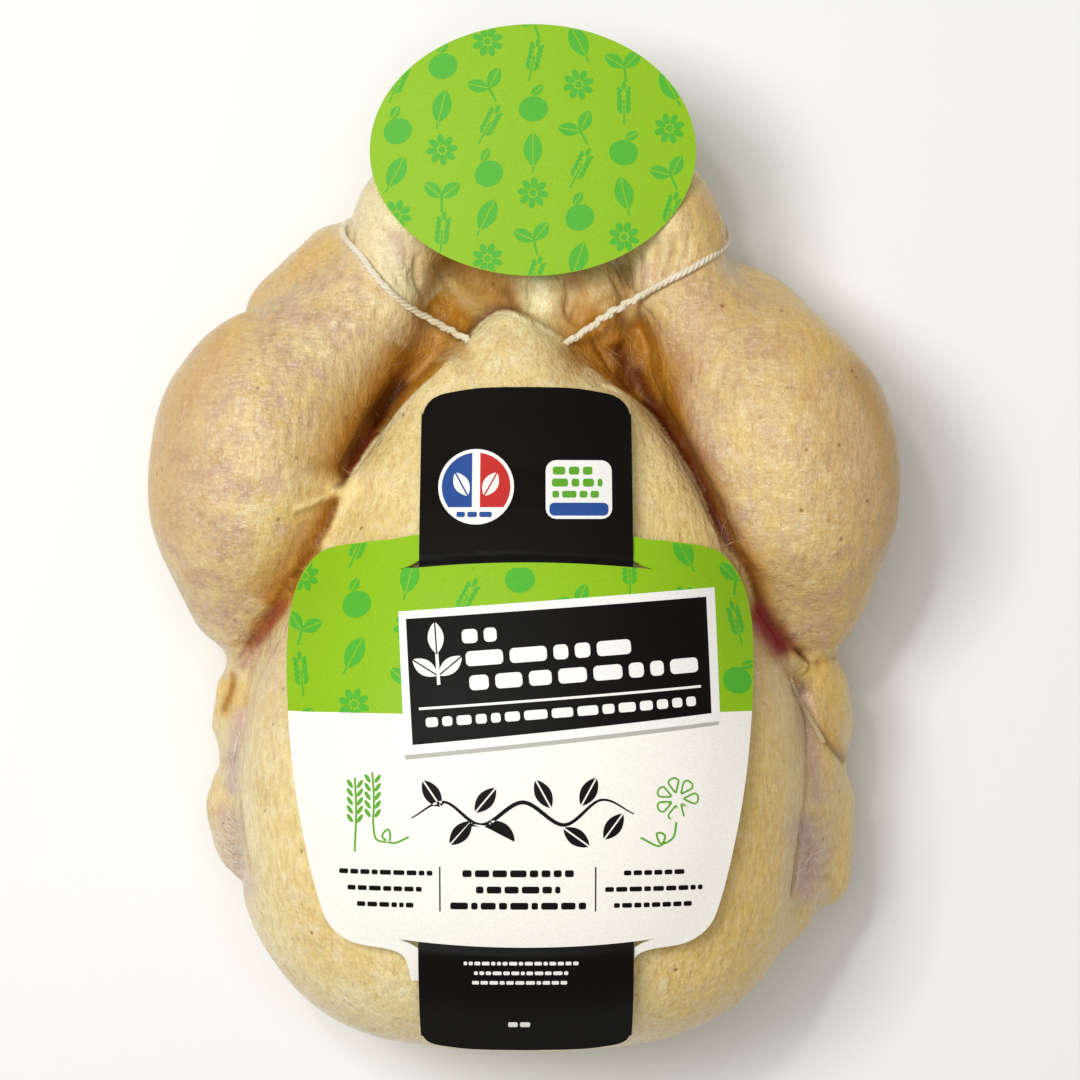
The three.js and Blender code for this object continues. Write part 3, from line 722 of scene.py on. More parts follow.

# The painted shade is taken off the breast right up to its edge, and off the flap, the web fold and strips of
# the wings
FLAP = [(533, 268), (536, 292), (538, 314)]
DARK = ("amber", "brown")
WIPES = (
    (DARK, LEFT_EDGE, 7),
    (DARK, TIP_EDGE[::-1], 4),
    (DARK, RIGHT_EDGE[::-1], 9),
    (DARK, FLAP, 3.6, 0),
    ((*DARK, "meat"), [(797, 660), (806, 668)], 1.3, 0),
    (DARK, [(803, 690), (808, 730), (813, 780), (818, 820)], 3.0, 0),
    (DARK, [(240, 706), (236, 740), (233, 800)], 2.2, 0),
    (DARK, [(345, 489), (330, 495), (312, 503), (296, 510)], 0.9, 0),
)
for wipe in WIPES:
    work.wipe(*wipe)
# Edges that catch the light
EDGE_PAINT = (
    ("pale", FLAP, 4.0, 0.7, 0),
    ("yellow", [(793, 648), (800, 658), (808, 672)], 2.6, 0.9, 0),
    ("pale", [(345, 489), (330, 495), (312, 503), (292, 512)], 1.0, 0.8, 0.2),
    ("pale", LEFT_EDGE[1:], 0.5, 0.9, 0.1),
    ("pale", TIP_EDGE, 1.5, 0.6, 0.2),
    ("pale", RIGHT_EDGE[1:10], 0.4, 0.7, 0.1),
)
for stroke in EDGE_PAINT:
    work.paint(*stroke)

for name, values in work.layers.items():
    layer = skin.data.attributes.new(name, "FLOAT", "POINT")
    layer.data.foreach_set("value", averaged(values, 1))
set_places(skin, work.points)
skin_tree = tree_of(skin)


# Chicken skin with fat under it: moist, a little see-through, pored, wet in places
def skin_material():
    material, tree = new_material("raw chicken skin")
    place = add(tree, "TexCoord", output="Object")
    layers = {name: add(tree, "Attribute", output="Fac", attribute_name=name) for name in Skin.LAYERS}
    # Grains: a size in millimetres, detail, roughness, and how each is squeezed along the three axes
    grains = {}
    for name, size, detail, roughness, squeeze in (
        ("patches", 22, 2, 0.5, (1, 1, 1)),
        ("unevenness", 13, 2, 0.5, (1, 1, 1)),
        ("mottle", 9, 3, 0.5, (1, 1, 1)),
        ("small", 5, 4, 0.5, (1, 1, 1)),
        ("streaks", 3, 3, 0.6, (1.5, 0.6, 1)),
        ("along", 1.2, 4, 0.6, (1.2, 0.4, 1)),
        ("across", 1.2, 4, 0.6, (0.5, 1.2, 1)),
        ("fine", 1.1, 3, 0.5, (1, 1, 1)),
        ("pores", 0.6, 2, 0.5, (1, 1, 1)),
    ):
        squeezed = add(tree, "Mapping", {"Vector": place, "Scale": squeeze})
        grains[name] = add(tree, "TexNoise", {
            "Vector": squeezed, "Scale": 1 / (size * MM), "Detail": detail, "Roughness": roughness})
    # Wrinkles run along the body, and across the legs
    wrinkles = add(
        tree, "Mix", {0: layers["rosy"], 2: grains["along"], 3: grains["across"]}, data_type="FLOAT")
    follicles = add(tree, "TexVoronoi", {"Vector": place, "Scale": 1 / (3 * MM)}, "Distance")
    specks = add(tree, "TexVoronoi", {"Vector": place, "Scale": 1 / (6 * MM)}, "Distance")
    # Shares: a value with a range of it, and the range that this is brought to
    shares = dict(layers)
    for name, value, low, high, to_low, to_high in (
        ("golden", grains["patches"], 0.35, 0.65, 0, 1),
        ("cream", grains["small"], 0.5, 0.75, 0, 0.6),
        ("tan", grains["streaks"], 0.5, 0.35, 0, 0.35),
        ("thin", grains["small"], 0.3, 0.6, 0.6, 1),
        ("mottled", grains["mottle"], 0.38, 0.6, 0.45, 1),
        ("fat", grains["streaks"], 0.4, 0.62, 0, 1),
        ("pale", layers["pale"], 0, 1, 0, 0.8),
        ("yellow", layers["yellow"], 0, 1, 0, 0.75),
        ("lilac", layers["lilac"], 0, 1, 0, 0.85),
        ("light grain", grains["fine"], 0.52, 0.7, 0, 0.15),
        ("dark grain", grains["fine"], 0.48, 0.3, 0, 0.12),
        ("shaded wrinkles", wrinkles, 0.48, 0.3, 0, 0.4),
        ("highlit wrinkles", wrinkles, 0.55, 0.72, 0, 0.4),
        ("shaded pores", grains["pores"], 0.45, 0.25, 0, 0.24),
        ("highlit pores", grains["pores"], 0.57, 0.75, 0, 0.34),
        ("uneven", grains["unevenness"], 0.4, 0.6, 0.35, 1),
        ("wrinkled", grains["unevenness"], 0.4, 0.6, 0.21, 0.6),
        ("amber", layers["amber"], 0, 0.9, 0, 1),
        ("honey", grains["streaks"], 0.5, 0.7, 0, 0.5),
        ("specks", specks, 0.06, 0.12, 1, 0),
        ("speckled", grains["patches"], 0.42, 0.58, 0, 0.8),
        ("dry", grains["small"], 0.35, 0.65, 0.34, 0.52),
    ):
        shares[name] = add(tree, "MapRange", {0: value, 1: low, 2: high, 3: to_low, 4: to_high})
    for name, other in (
        ("rosy", shares["thin"]), ("rosy", shares["mottled"]), ("honey", layers["amber"]),
        ("shaded pores", shares["uneven"]), ("highlit pores", shares["uneven"]), ("specks", shares["speckled"]),
    ):
        shares[name] = add(tree, "Math", {0: shares[name], 1: other}, operation="MULTIPLY")
    colour = add(tree, "Mix", {
        0: shares["golden"], 6: linear("#F2DFA2"), 7: linear("#E4CA82")}, 2, data_type="RGBA")
    flesh = add(tree, "Mix", {
        0: shares["fat"], 6: linear("#BB9A87"), 7: linear("#D5B986")}, 2, data_type="RGBA")
    # Colours, each laid over the ones before it
    for name, coat in (
        ("cream", linear("#F7EBC4")),
        ("tan", linear("#D3AC62")),
        # Legs: thin skin over dark flesh, lilac and beige with yellow streaks of fat
        ("rosy", flesh),
        ("pale", linear("#F3E9BC")),
        ("yellow", linear("#E0B64A")),
        ("lilac", linear("#C6A39B")),
        # Lighter and darker grain of about 1 mm and finer, as the skin is pored and fatty
        ("light grain", linear("#FAEFD0")),
        ("dark grain", linear("#B08545")),
        # Painted shade in the troughs of the wrinkles' and pores' bumps, and painted highlights on their
        # crests, over the grain
        ("shaded wrinkles", linear("#B48C4C")),
        ("highlit wrinkles", linear("#FBF1D4")),
        ("shaded pores", linear("#96703A")),
        ("highlit pores", linear("#FFF8E6")),
        # Painted shade and bounce light in hollows, where the light has gone from flesh to flesh, and bare meat
        ("amber", linear("#AE7420")),
        ("honey", linear("#D9A84E")),
        ("brown", linear("#561802")),
        ("meat", linear("#90202E")),
        # Yellow-brown specks about 1 mm across, some 6 mm apart
        ("specks", linear("#8A6226")),
    ):
        colour = add(tree, "Mix", {0: shares[name], 6: colour, 7: coat}, 2, data_type="RGBA")
    # Folds some 3 mm apart, wrinkles of 1 mm and less, follicles some 3 mm apart, and pores
    bump = None
    for height, strength, deep in (
        (grains["streaks"], 0.5, 1.4), (wrinkles, shares["wrinkled"], 0.7), (follicles, 0.4, 0.6),
        (grains["pores"], 0.5, 0.3),
    ):
        under = {"Normal": bump} if bump else {}
        bump = add(tree, "Bump", {"Height": height, "Strength": strength, "Distance": deep * MM, **under})
    # Nothing glints deep in the creases
    dark = add(tree, "Math", {0: layers["brown"], 1: layers["meat"]}, operation="ADD")
    dark = add(tree, "Math", {0: layers["amber"], 1: 0.6, 2: dark}, operation="MULTIPLY_ADD")
    surface = add(tree, "BsdfPrincipled", {
        "Base Color": colour,
        "Roughness": shares["dry"],
        "IOR": 1.42,
        "Specular IOR Level": 0.3,
        "Normal": bump,
        "Coat Normal": bump,
        "Subsurface Weight": 0.2,
        "Subsurface Radius": (2.4 * MM, 1.2 * MM, 0.6 * MM),
        "Subsurface Scale": 1.0,
        "Coat Weight": add(tree, "MapRange", {0: dark, 1: 0, 2: 1, 3: 0.55, 4: 0}),
        "Coat Roughness": 0.1,
        "Coat IOR": 1.36,
    })
    add(tree, "OutputMaterial", {"Surface": surface})
    return material


def finish_piece(piece, material, node, angle=None):
    piece.data.materials.clear()
    piece.data.materials.append(material)
    select_only(piece)
    if angle:
        bpy.ops.object.shade_smooth_by_angle(angle=angle)
    else:
        bpy.ops.object.shade_smooth()
    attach(piece, "root")
    if node:
        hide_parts(node)


finish_piece(skin, skin_material(), "chicken")


# Loose fibres of torn skin, 2 to 7 mm long: light brown ones by the creases and white ridges on the wrists
def fibre_material(name, code):
    material, tree = new_material(name)
    surface = add(tree, "BsdfPrincipled", {
        "Base Color": linear(code), "Roughness": 0.35, "IOR": 1.42, "Subsurface Weight": 0.2,
        "Subsurface Radius": (1.0 * MM, 0.6 * MM, 0.4 * MM), "Subsurface Scale": 1.0})
    add(tree, "OutputMaterial", {"Surface": surface})
    return material


FIBRE_POINTS = 7


def fibres(name, radius, windows):
    """Strands over windows of the picture, each with the strands' direction in degrees and their count."""
    curve = bpy.data.curves.new(name, "CURVE")
    curve.dimensions = "3D"
    curve.bevel_depth = radius * MM
    curve.bevel_resolution = 0
    curve.use_fill_caps = True
    for x0, y0, x1, y1, degrees, count in windows:
        for _ in range(count):
            px, py = draw.uniform(x0, x1), draw.uniform(y0, y1)
            angle = math.radians(degrees + draw.uniform(-28, 28))
            length, bow = draw.uniform(7, 26), draw.uniform(-3, 3)
            spline = curve.splines.new("POLY")
            spline.points.add(FIBRE_POINTS - 1)
            for i, spot in enumerate(spline.points):
                t = i / (FIBRE_POINTS - 1)
                along, aside = length * (t - 0.5), bow * math.sin(math.pi * t)
                place = seen(px + along * math.cos(angle) - aside * math.sin(angle),
                             py + along * math.sin(angle) + aside * math.cos(angle))
                spot.co = (place.x, place.y, place.z + (0.05 + 3 * radius * math.sin(math.pi * t)) * MM, 1)
                spot.radius = 0.35 + 0.65 * math.sin(math.pi * t)
    return meshed(name, curve)


FIBRE_RADIUS = 0.055
RIDGE_RADIUS = 0.11
crease_fibres = fibres("fibres", FIBRE_RADIUS, (
    (392, 330, 446, 392, -35, 14), (318, 396, 372, 470, 35, 9), (420, 270, 470, 320, 20, 9),
    (590, 330, 640, 384, 60, 7), (230, 380, 320, 470, 40, 10), (590, 268, 622, 300, 50, 4),
    (700, 420, 800, 600, -60, 12), (722, 542, 737, 547, -10, 3), (780, 670, 830, 760, 60, 5),
))
finish_piece(crease_fibres, fibre_material("light brown fibres of skin", "#DDBE84"), None)
wrist_ridges = fibres("wrist_ridges", RIDGE_RADIUS, (
    (216, 816, 238, 850, 25, 22), (222, 846, 246, 884, 15, 22), (216, 816, 238, 850, 75, 10),
    (226, 846, 244, 880, 70, 10), (234, 712, 242, 760, 80, 6), (228, 744, 238, 800, 80, 8),
    (800, 840, 822, 886, -25, 5),
))
finish_piece(wrist_ridges, fibre_material("white ridges of dry skin", "#F2E6D0"), None)


# Cotton kitchen string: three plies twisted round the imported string's middle line

PLY_RADIUS = 0.5 * MM
PLY_OFFSET = 0.47 * MM
PLY_LAY = 5.2 * MM
STRING_STEP = 0.45 * MM


def evenly(points, step, closed):
    points = np.array([*points, points[0]] if closed else points)
    lengths = np.linalg.norm(np.diff(points, axis=0), axis=1)
    run = np.concatenate([[0], np.cumsum(lengths)])
    count = max(4, round(run[-1] / step))
    wanted = np.linspace(0, run[-1], count, endpoint=not closed)
    return np.stack([np.interp(wanted, run, points[:, i]) for i in range(3)], axis=1), run[-1]


def twisted(name, middle, closed, size=1.0):
    """Three plies round a middle line, each a closed tube."""
    points, length = evenly(middle, STRING_STEP, closed)
    turns = round(length / PLY_LAY) if closed else length / PLY_LAY
    count = len(points)
    if closed:
        ways = np.roll(points, -1, 0) - np.roll(points, 1, 0)
    else:
        ways = np.gradient(points, axis=0)
    ways /= np.linalg.norm(ways, axis=1)[:, None]
    side = np.cross(ways, (0.0, 0.0, 1.0))
    side /= np.linalg.norm(side, axis=1)[:, None]
    up = np.cross(side, ways)
    plies = []
    for ply in range(3):
        angle = 2 * math.pi * (turns * np.arange(count) / count + ply / 3)
        route = points + size * PLY_OFFSET * (side * np.cos(angle)[:, None] + up * np.sin(angle)[:, None])
        curve = bpy.data.curves.new(f"{name}_ply", "CURVE")
        curve.dimensions = "3D"
        curve.bevel_depth = size * PLY_RADIUS
        curve.bevel_resolution = 1
        curve.use_fill_caps = not closed
        spline = curve.splines.new("POLY")
        spline.points.add(count - 1)
        spline.use_cyclic_u = closed
        for spot, place in zip(spline.points, route):
            spot.co = (*place, 1)
        plies.append(meshed(f"{name}_ply", curve))
    return joined(name, plies)


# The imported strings' middle lines are found from their corners: round a hub for the loop, along y for the end
STRING_HUB = (3.0, 72.4)
LOOP_POINTS = 150
LOOP_WINDOW = 0.035
END_POINTS = 14
END_WINDOW = 1.6 * MM
END_INSET = 1.1 * MM


def loop_middle(piece):
    points = places(piece)
    hub = np.array(STRING_HUB) * MM
    turn = np.arctan2(points[:, 1] - hub[1], points[:, 0] - hub[0])
    middle = []
    for angle in np.linspace(-math.pi, math.pi, LOOP_POINTS, endpoint=False):
        away = np.abs((turn - angle + math.pi) % (2 * math.pi) - math.pi)
        weight = np.exp(-(away / LOOP_WINDOW) ** 2)
        middle.append((points * weight[:, None]).sum(0) / weight.sum())
    return middle


def end_middle(piece):
    points = places(piece)
    along = points[:, 1]
    middle = []
    for y in np.linspace(along.max() - END_INSET, along.min() + END_INSET, END_POINTS):
        weight = np.exp(-((along - y) / END_WINDOW) ** 2)
        middle.append((points * weight[:, None]).sum(0) / weight.sum())
    return middle


def string_material(name, code, stain):
    material, tree = new_material(name)
    place = add(tree, "TexCoord", output="Object")
    # Fibres about 0.3 mm apart, and stains from the wet skin some 12 mm long
    threads = add(tree, "TexNoise", {"Vector": place, "Scale": 1 / (0.3 * MM), "Detail": 3.0})
    stains = add(tree, "TexNoise", {"Vector": place, "Scale": 1 / (12 * MM), "Detail": 2.0})
    stained = add(tree, "MapRange", {0: stains, 1: 0.42, 2: 0.65, 3: 0, 4: 0.7})
    shaded = add(tree, "MapRange", {0: threads, 1: 0.4, 2: 0.7, 3: 0, 4: 0.35})
    colour = linear(code)
    for share, coat in ((stained, stain), (shaded, "#C9B58C")):
        colour = add(tree, "Mix", {0: share, 6: colour, 7: linear(coat)}, 2, data_type="RGBA")
    bump = add(tree, "Bump", {"Height": threads, "Strength": 0.6, "Distance": 0.2 * MM})
    surface = add(tree, "BsdfPrincipled", {
        "Base Color": colour, "Roughness": 0.9, "IOR": 1.5, "Normal": bump,
        "Subsurface Weight": 0.1, "Subsurface Radius": (1.0 * MM, 0.8 * MM, 0.6 * MM), "Subsurface Scale": 1.0,
        "Sheen Weight": 0.3, "Sheen Roughness": 0.5})
    add(tree, "OutputMaterial", {"Surface": surface})
    return material


# The short end is a thinner, wet piece
SHORT_END_SIZE = 0.72
COTTON = string_material("twisted cotton string", "#EDE2CA", "#CDB586")
WET_COTTON = string_material("wet twisted cotton string", "#CDB78C", "#A4854F")
truss = twisted("truss_twine", loop_middle(cad["truss_string"]), True)
finish_piece(truss, COTTON, "truss_string")
short_end = twisted("wing_twine", end_middle(cad["wing_string"]), False, SHORT_END_SIZE)
finish_piece(short_end, WET_COTTON, "wing_string")


# The bed that both cards lie on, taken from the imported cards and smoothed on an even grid

CARD = 0.4
GAP = 0.3
ORIGIN_SHIFT = 11.6
PANEL_TOP = 2 * (GAP + CARD)
BAND_OVER = 3 * GAP + 2 * CARD
PANEL_X = -0.8
BAND_X = 0.8
BAND_HALF_WIDTH = 26.3
BAND_TOP_Y = 50.2 - ORIGIN_SHIFT
BAND_END_Y = -114.8 - ORIGIN_SHIFT
TOP_SLIT_Y = 6.5 - ORIGIN_SHIFT
END_SLIT_Y = -87.2 - ORIGIN_SHIFT
SLIT_WIDTH = 2.2
SLIT_HALF_LENGTH = 31.5
SLIT_SAG = 1.8
# The bed's grid, how it runs on past the cards, its smoothing, and how steep it may count
BED_STEP = 2.0
BED_RUN_ON = 0.8
BED_SMOOTHINGS = 7
BED_RISE = 0.1
LEAST_UPWARD = 0.45
MOST_STEEP = 2.2
BED_X = np.arange(-68, 68.1, BED_STEP)
BED_Y = np.arange(-134, 50.1, BED_STEP)
BAND_ROWS = [
    BAND_END_Y - 3, -100 - ORIGIN_SHIFT, END_SLIT_Y - SLIT_WIDTH, END_SLIT_Y,
    TOP_SLIT_Y, TOP_SLIT_Y + SLIT_WIDTH, 20 - ORIGIN_SHIFT, 30 - ORIGIN_SHIFT, BAND_TOP_Y + 2,
]
BAND_LIFTS = [BAND_OVER - 0.6, BAND_OVER, BAND_OVER, GAP, GAP, BAND_OVER, BAND_OVER, GAP, GAP]


def unbowed(x, y):
    """The row that a place on a card belongs to, as the rows bow with the slits."""
    share = np.interp(y, [END_SLIT_Y, TOP_SLIT_Y], [-1, 1])
    return y + share * SLIT_SAG * (x / SLIT_HALF_LENGTH) ** 2


def band_lift(x, y):
    return np.interp(unbowed(x, y), BAND_ROWS, BAND_LIFTS)


def card_bed():
    trees = {name: tree_of(cad[name]) for name in ("label_panel", "label_band")}
    bed = np.full((len(BED_Y), len(BED_X)), np.nan)
    for j, y in enumerate(BED_Y):
        for i, x in enumerate(BED_X):
            for name, tree in trees.items():
                place, normal, _, _ = tree.ray_cast(Vector((x * MM, y * MM, ABOVE_ALL)), DOWN)
                if place is None:
                    continue
                lift = PANEL_TOP if name == "label_panel" else band_lift(x, y) + CARD
                height = place.z / MM - lift / max(normal.z, LEAST_UPWARD)
                bed[j, i] = height if np.isnan(bed[j, i]) else (bed[j, i] + height) / 2
    # Past the cards the bed runs on with most of its slope, and then all of it is smoothed a little
    while np.isnan(bed).any():
        wide = np.pad(bed, 2, constant_values=np.nan)
        rows, columns = bed.shape
        runs = []
        for dy, dx in ((0, 1), (0, -1), (1, 0), (-1, 0)):
            one = wide[2 + dy:2 + dy + rows, 2 + dx:2 + dx + columns]
            two = wide[2 + 2 * dy:2 + 2 * dy + rows, 2 + 2 * dx:2 + 2 * dx + columns]
            runs.append(one + BED_RUN_ON * (one - two))
        known = np.array([np.where(np.isnan(r), 0, r) for r in runs]).sum(0)
        count = np.array([~np.isnan(r) for r in runs]).sum(0)
        fill = np.isnan(bed) & (count > 0)
        bed[fill] = known[fill] / count[fill]
    for _ in range(BED_SMOOTHINGS):
        wide = np.pad(bed, 1, mode="reflect", reflect_type="odd")
        bed = (wide[1:-1, :-2] + 2 * wide[1:-1, 1:-1] + wide[1:-1, 2:]) / 4
        wide = np.pad(bed, 1, mode="reflect", reflect_type="odd")
        bed = (wide[:-2, 1:-1] + 2 * wide[1:-1, 1:-1] + wide[2:, 1:-1]) / 4
    return bed + BED_RISE


BED = card_bed()
BED_STEEP = np.minimum(np.hypot(np.hypot(*np.gradient(BED, BED_STEP)), 1), MOST_STEEP)


def on_grid(grid, x, y):
    """A grid's value between its corners."""
    u = np.clip((x - BED_X[0]) / BED_STEP, 0, len(BED_X) - 1.001)
    v = np.clip((y - BED_Y[0]) / BED_STEP, 0, len(BED_Y) - 1.001)
    i, j = u.astype(int), v.astype(int)
    s, t = u - i, v - j
    low = grid[j, i] * (1 - s) + grid[j, i + 1] * s
    high = grid[j + 1, i] * (1 - s) + grid[j + 1, i + 1] * s
    return low * (1 - t) + high * t


def over_panel(x, y):
    return on_grid(BED, x, y) + PANEL_TOP * on_grid(BED_STEEP, x, y)


def over_band(x, y):
    return on_grid(BED, x, y) + (band_lift(x, y) + CARD) * on_grid(BED_STEEP, x, y)


OVAL_MIDDLE = (2.4, 110.6 - ORIGIN_SHIFT)
OVAL_HALF_WIDTH = 41.3
OVAL_HALF_LENGTH = 31.9
OVAL_SLOPE = 0.03
OVAL_BOW_ACROSS = 0.0016
OVAL_BOW_ALONG = 0.0012


def oval_bend(x, y):
    """The oval card slopes down towards the hocks' ends and bends over them both ways."""
    x, y = x - OVAL_MIDDLE[0], y - OVAL_MIDDLE[1]
    return -OVAL_BOW_ACROSS * x * x - OVAL_SLOPE * y - OVAL_BOW_ALONG * y * y


OVAL_REST = tree_of(cad["label_oval"]).ray_cast(
    Vector((OVAL_MIDDLE[0] * MM, OVAL_MIDDLE[1] * MM, ABOVE_ALL)), DOWN)[0].z / MM


def over_oval(x, y):
    return OVAL_REST + oval_bend(x, y)


# Outlines in plan, in millimetres

def smooth_line(points, step=1.5):
    return [tuple(p) for p in through(points, step)]


def ellipse(x, y, half_width, half_length, turn=0.0, count=24):
    c, s = math.cos(turn), math.sin(turn)
    points = []
    for i in range(count):
        u = half_width * math.cos(2 * math.pi * i / count)
        v = half_length * math.sin(2 * math.pi * i / count)
        points.append((x + c * u - s * v, y + s * u + c * v))
    return points


def placed(outlines, x, y, size=1.0, turn=0.0):
    c, s = math.cos(turn) * size, math.sin(turn) * size
    return [[(x + c * u - s * v, y + s * u + c * v) for u, v in outline] for outline in outlines]


def ribbon(points, width, ends=1.0):
    """A line of a width, narrower at its ends by a share."""
    route = [Vector(p) for p in smooth_line(points, 0.7)]
    left, right = [], []
    for i, p in enumerate(route):
        way = (route[min(i + 1, len(route) - 1)] - route[max(i - 1, 0)]).normalized()
        t = i / (len(route) - 1)
        half = width / 2 * (ends + (1 - ends) * math.sin(math.pi * t))
        left.append((p.x - way.y * half, p.y + way.x * half))
        right.append((p.x + way.y * half, p.y - way.x * half))
    return left + right[::-1]


def bar(x, y, width, height, turn=0.0):
    half, tall = width / 2, height / 2
    return placed([[(-half, -tall), (half, -tall), (half, tall), (-half, tall)]], x, y, 1, turn)[0]


def rounded(x0, y0, x1, y1, radius):
    points = []
    for cx, cy, start in (
        (x1 - radius, y1 - radius, 0), (x0 + radius, y1 - radius, 90),
        (x0 + radius, y0 + radius, 180), (x1 - radius, y0 + radius, 270),
    ):
        for i in range(5):
            angle = math.radians(start + 22.5 * i)
            points.append((cx + radius * math.cos(angle), cy + radius * math.sin(angle)))
    return points


def inside_convex(outline, region):
    """The part of an outline within a convex region, given anticlockwise."""
    points = list(outline)
    for (ax, ay), (bx, by) in zip(region, region[1:] + region[:1]):
        kept = []
        for (px, py), (qx, qy) in zip(points, points[1:] + points[:1]):
            p_in = (bx - ax) * (py - ay) - (by - ay) * (px - ax)
            q_in = (bx - ax) * (qy - ay) - (by - ay) * (qx - ax)
            if p_in >= 0:
                kept.append((px, py))
            if (p_in >= 0) != (q_in >= 0):
                t = p_in / (p_in - q_in)
                kept.append((px + t * (qx - px), py + t * (qy - py)))
        points = kept
        if len(points) < 3:
            return None
    return points


def sheet(name, outlines, pitch=3.0, cuts=()):
    """A flat filled shape from closed outlines, cut along a grid so that it can bend."""
    curve = bpy.data.curves.new(name, "CURVE")
    curve.dimensions = "2D"
    curve.fill_mode = "BOTH"
    for outline in outlines:
        spline = curve.splines.new("POLY")
        spline.points.add(len(outline) - 1)
        spline.use_cyclic_u = True
        for spot, (x, y) in zip(spline.points, outline):
            spot.co = (x * MM, y * MM, 0, 1)
    piece = meshed(name, curve)
    points = places(piece) / MM
    steps = []
    for axis, normal in ((0, (1, 0, 0)), (1, (0, 1, 0))):
        low, high = points[:, axis].min(), points[:, axis].max()
        spots = list(np.arange(math.ceil(low / pitch) * pitch, high, pitch))
        for spot in spots + [cut for cut in cuts if axis == 1]:
            place = [0, 0, 0]
            place[axis] = spot * MM
            steps.append((bpy.ops.mesh.bisect, {"plane_co": place, "plane_no": normal}))
    edit(piece, *steps, (bpy.ops.mesh.remove_doubles, {"threshold": 0.005 * MM}))
    if sum(p.normal.z * p.area for p in piece.data.polygons) < 0:
        edit(piece, (bpy.ops.mesh.flip_normals, {}))
    return piece


def drape(piece, height, lift, thickness):
    """Lays a flat shape over a height in plan, and gives it its thickness downwards."""
    points = places(piece)
    x, y = points[:, 0] / MM, points[:, 1] / MM
    points[:, 2] = (height(x, y) + lift) * MM
    set_places(piece, points)
    apply_modifier(piece, "SOLIDIFY", thickness=thickness * MM, offset=-1)


PANEL_SIDE = [
    (24.6, 13.4), (28, 12.9), (31.5, 12.2), (38, 11.6), (47, 10.2), (51.5, 7.6), (55.6, 1.5), (57.7, -7),
    (58, -18), (57.2, -32), (55.4, -48), (52.4, -64), (49.4, -76), (46.6, -82.6), (41, -86.6),
    (31.5, -88.2), (28, -90.4), (26.6, -96),
]


def panel_outline():
    left = smooth_line([(PANEL_X - x, y - ORIGIN_SHIFT) for x, y in PANEL_SIDE])
    right = smooth_line([(PANEL_X + x, y - ORIGIN_SHIFT) for x, y in PANEL_SIDE])
    return left + right[::-1]


def slit(lip_y, away):
    """One slit. Its lip shows against the band, and its other edge lies hidden under the band."""
    lip, back = [], []
    for x in np.linspace(-SLIT_HALF_LENGTH, SLIT_HALF_LENGTH, 22):
        y = lip_y - away * SLIT_SAG * (x / SLIT_HALF_LENGTH) ** 2
        wide = SLIT_WIDTH * min(1, (SLIT_HALF_LENGTH - abs(x)) / 5.2) ** 2
        lip.append((x + BAND_X, y))
        if abs(x) < SLIT_HALF_LENGTH:
            back.append((x + BAND_X, y + away * wide))
    return lip + back[::-1]


def band_outline():
    w = BAND_HALF_WIDTH
    top, end = BAND_TOP_Y, BAND_END_Y
    half = [
        (w, -45), (w, -20), (w, top - 11), (w - 0.3, top - 6.8), (w - 1.7, top - 3.8), (w - 4.4, top - 1.9),
        (w - 9, top - 0.9), (w / 2.4, top - 0.1), (0, top + 0.1),
    ]
    lower = [
        (w, -45), (w, -80), (w, end + 8), (w - 0.6, end + 3.6), (w - 2.6, end + 1.6), (w - 7, end + 0.7),
        (w / 2, end + 0.1), (0, end - 0.1),
    ]
    upper_right = smooth_line(half)
    lower_right = smooth_line(lower)
    right = lower_right[::-1][:-1] + upper_right
    left = [(-x, y) for x, y in right[::-1]][1:-1]
    return [(BAND_X + x, y) for x, y in right + left]


# Printed card with a satin varnish: flat even ink that shows a faint paper grain under light
def card_material(name, code, shine=0.22):
    material, tree = new_material(name)
    place = add(tree, "TexCoord", output="Object")
    # Paper grain of 0.5 mm, and soft waves some 30 mm long
    grain = add(tree, "TexNoise", {"Vector": place, "Scale": 1 / (0.5 * MM), "Detail": 3.0})
    waves = add(tree, "TexNoise", {"Vector": place, "Scale": 1 / (30 * MM)})
    shade = add(tree, "MapRange", {0: grain, 1: 0.3, 2: 0.7, 3: 0, 4: 0.12})
    colour = add(tree, "Mix", {
        0: shade, 6: linear(code), 7: linear("#5A5A50")}, 2, data_type="RGBA", blend_type="MULTIPLY")
    bump = add(tree, "Bump", {"Height": grain, "Strength": 0.15, "Distance": 0.05 * MM})
    bump = add(tree, "Bump", {"Height": waves, "Strength": 0.3, "Distance": 0.6 * MM, "Normal": bump})
    surface = add(tree, "BsdfPrincipled", {
        "Base Color": colour, "Roughness": 0.55, "IOR": 1.5, "Specular IOR Level": shine, "Normal": bump})
    add(tree, "OutputMaterial", {"Surface": surface})
    return material


LIME = card_material("lime printed card", "#90C016")
LEAF_GREEN = card_material("leaf green ink on card", "#52B430")
CREAM = card_material("uncoloured cream card", "#FBF6EB")
BLACK = card_material("black printed card", "#0D0B09", 0.1)
WHITE = card_material("white ink on card", "#F7F4EE")
GREY = card_material("grey ink on card", "#B9B6AC")
BLUE = card_material("blue ink on card", "#2A4F96")
RED = card_material("red ink on card", "#C8302C")
LINE_GREEN = card_material("green line ink on card", "#63A92F")

CREAM_TOP_Y = -41.8
CARD_ANGLE = math.radians(40)

oval_card = sheet("oval_card", [ellipse(*OVAL_MIDDLE, OVAL_HALF_WIDTH, OVAL_HALF_LENGTH, count=120)], 4)
drape(oval_card, over_oval, 0, CARD)
finish_piece(oval_card, LIME, "label_oval", CARD_ANGLE)

panel_card = sheet(
    "panel_card", [panel_outline(), slit(TOP_SLIT_Y, 1), slit(END_SLIT_Y, -1)], 3, [CREAM_TOP_Y])
drape(panel_card, over_panel, 0, CARD)
finish_piece(panel_card, LIME, "label_panel", CARD_ANGLE)
panel_card.data.materials.append(CREAM)
for face in panel_card.data.polygons:
    if face.center.y < CREAM_TOP_Y * MM:
        face.material_index = 1

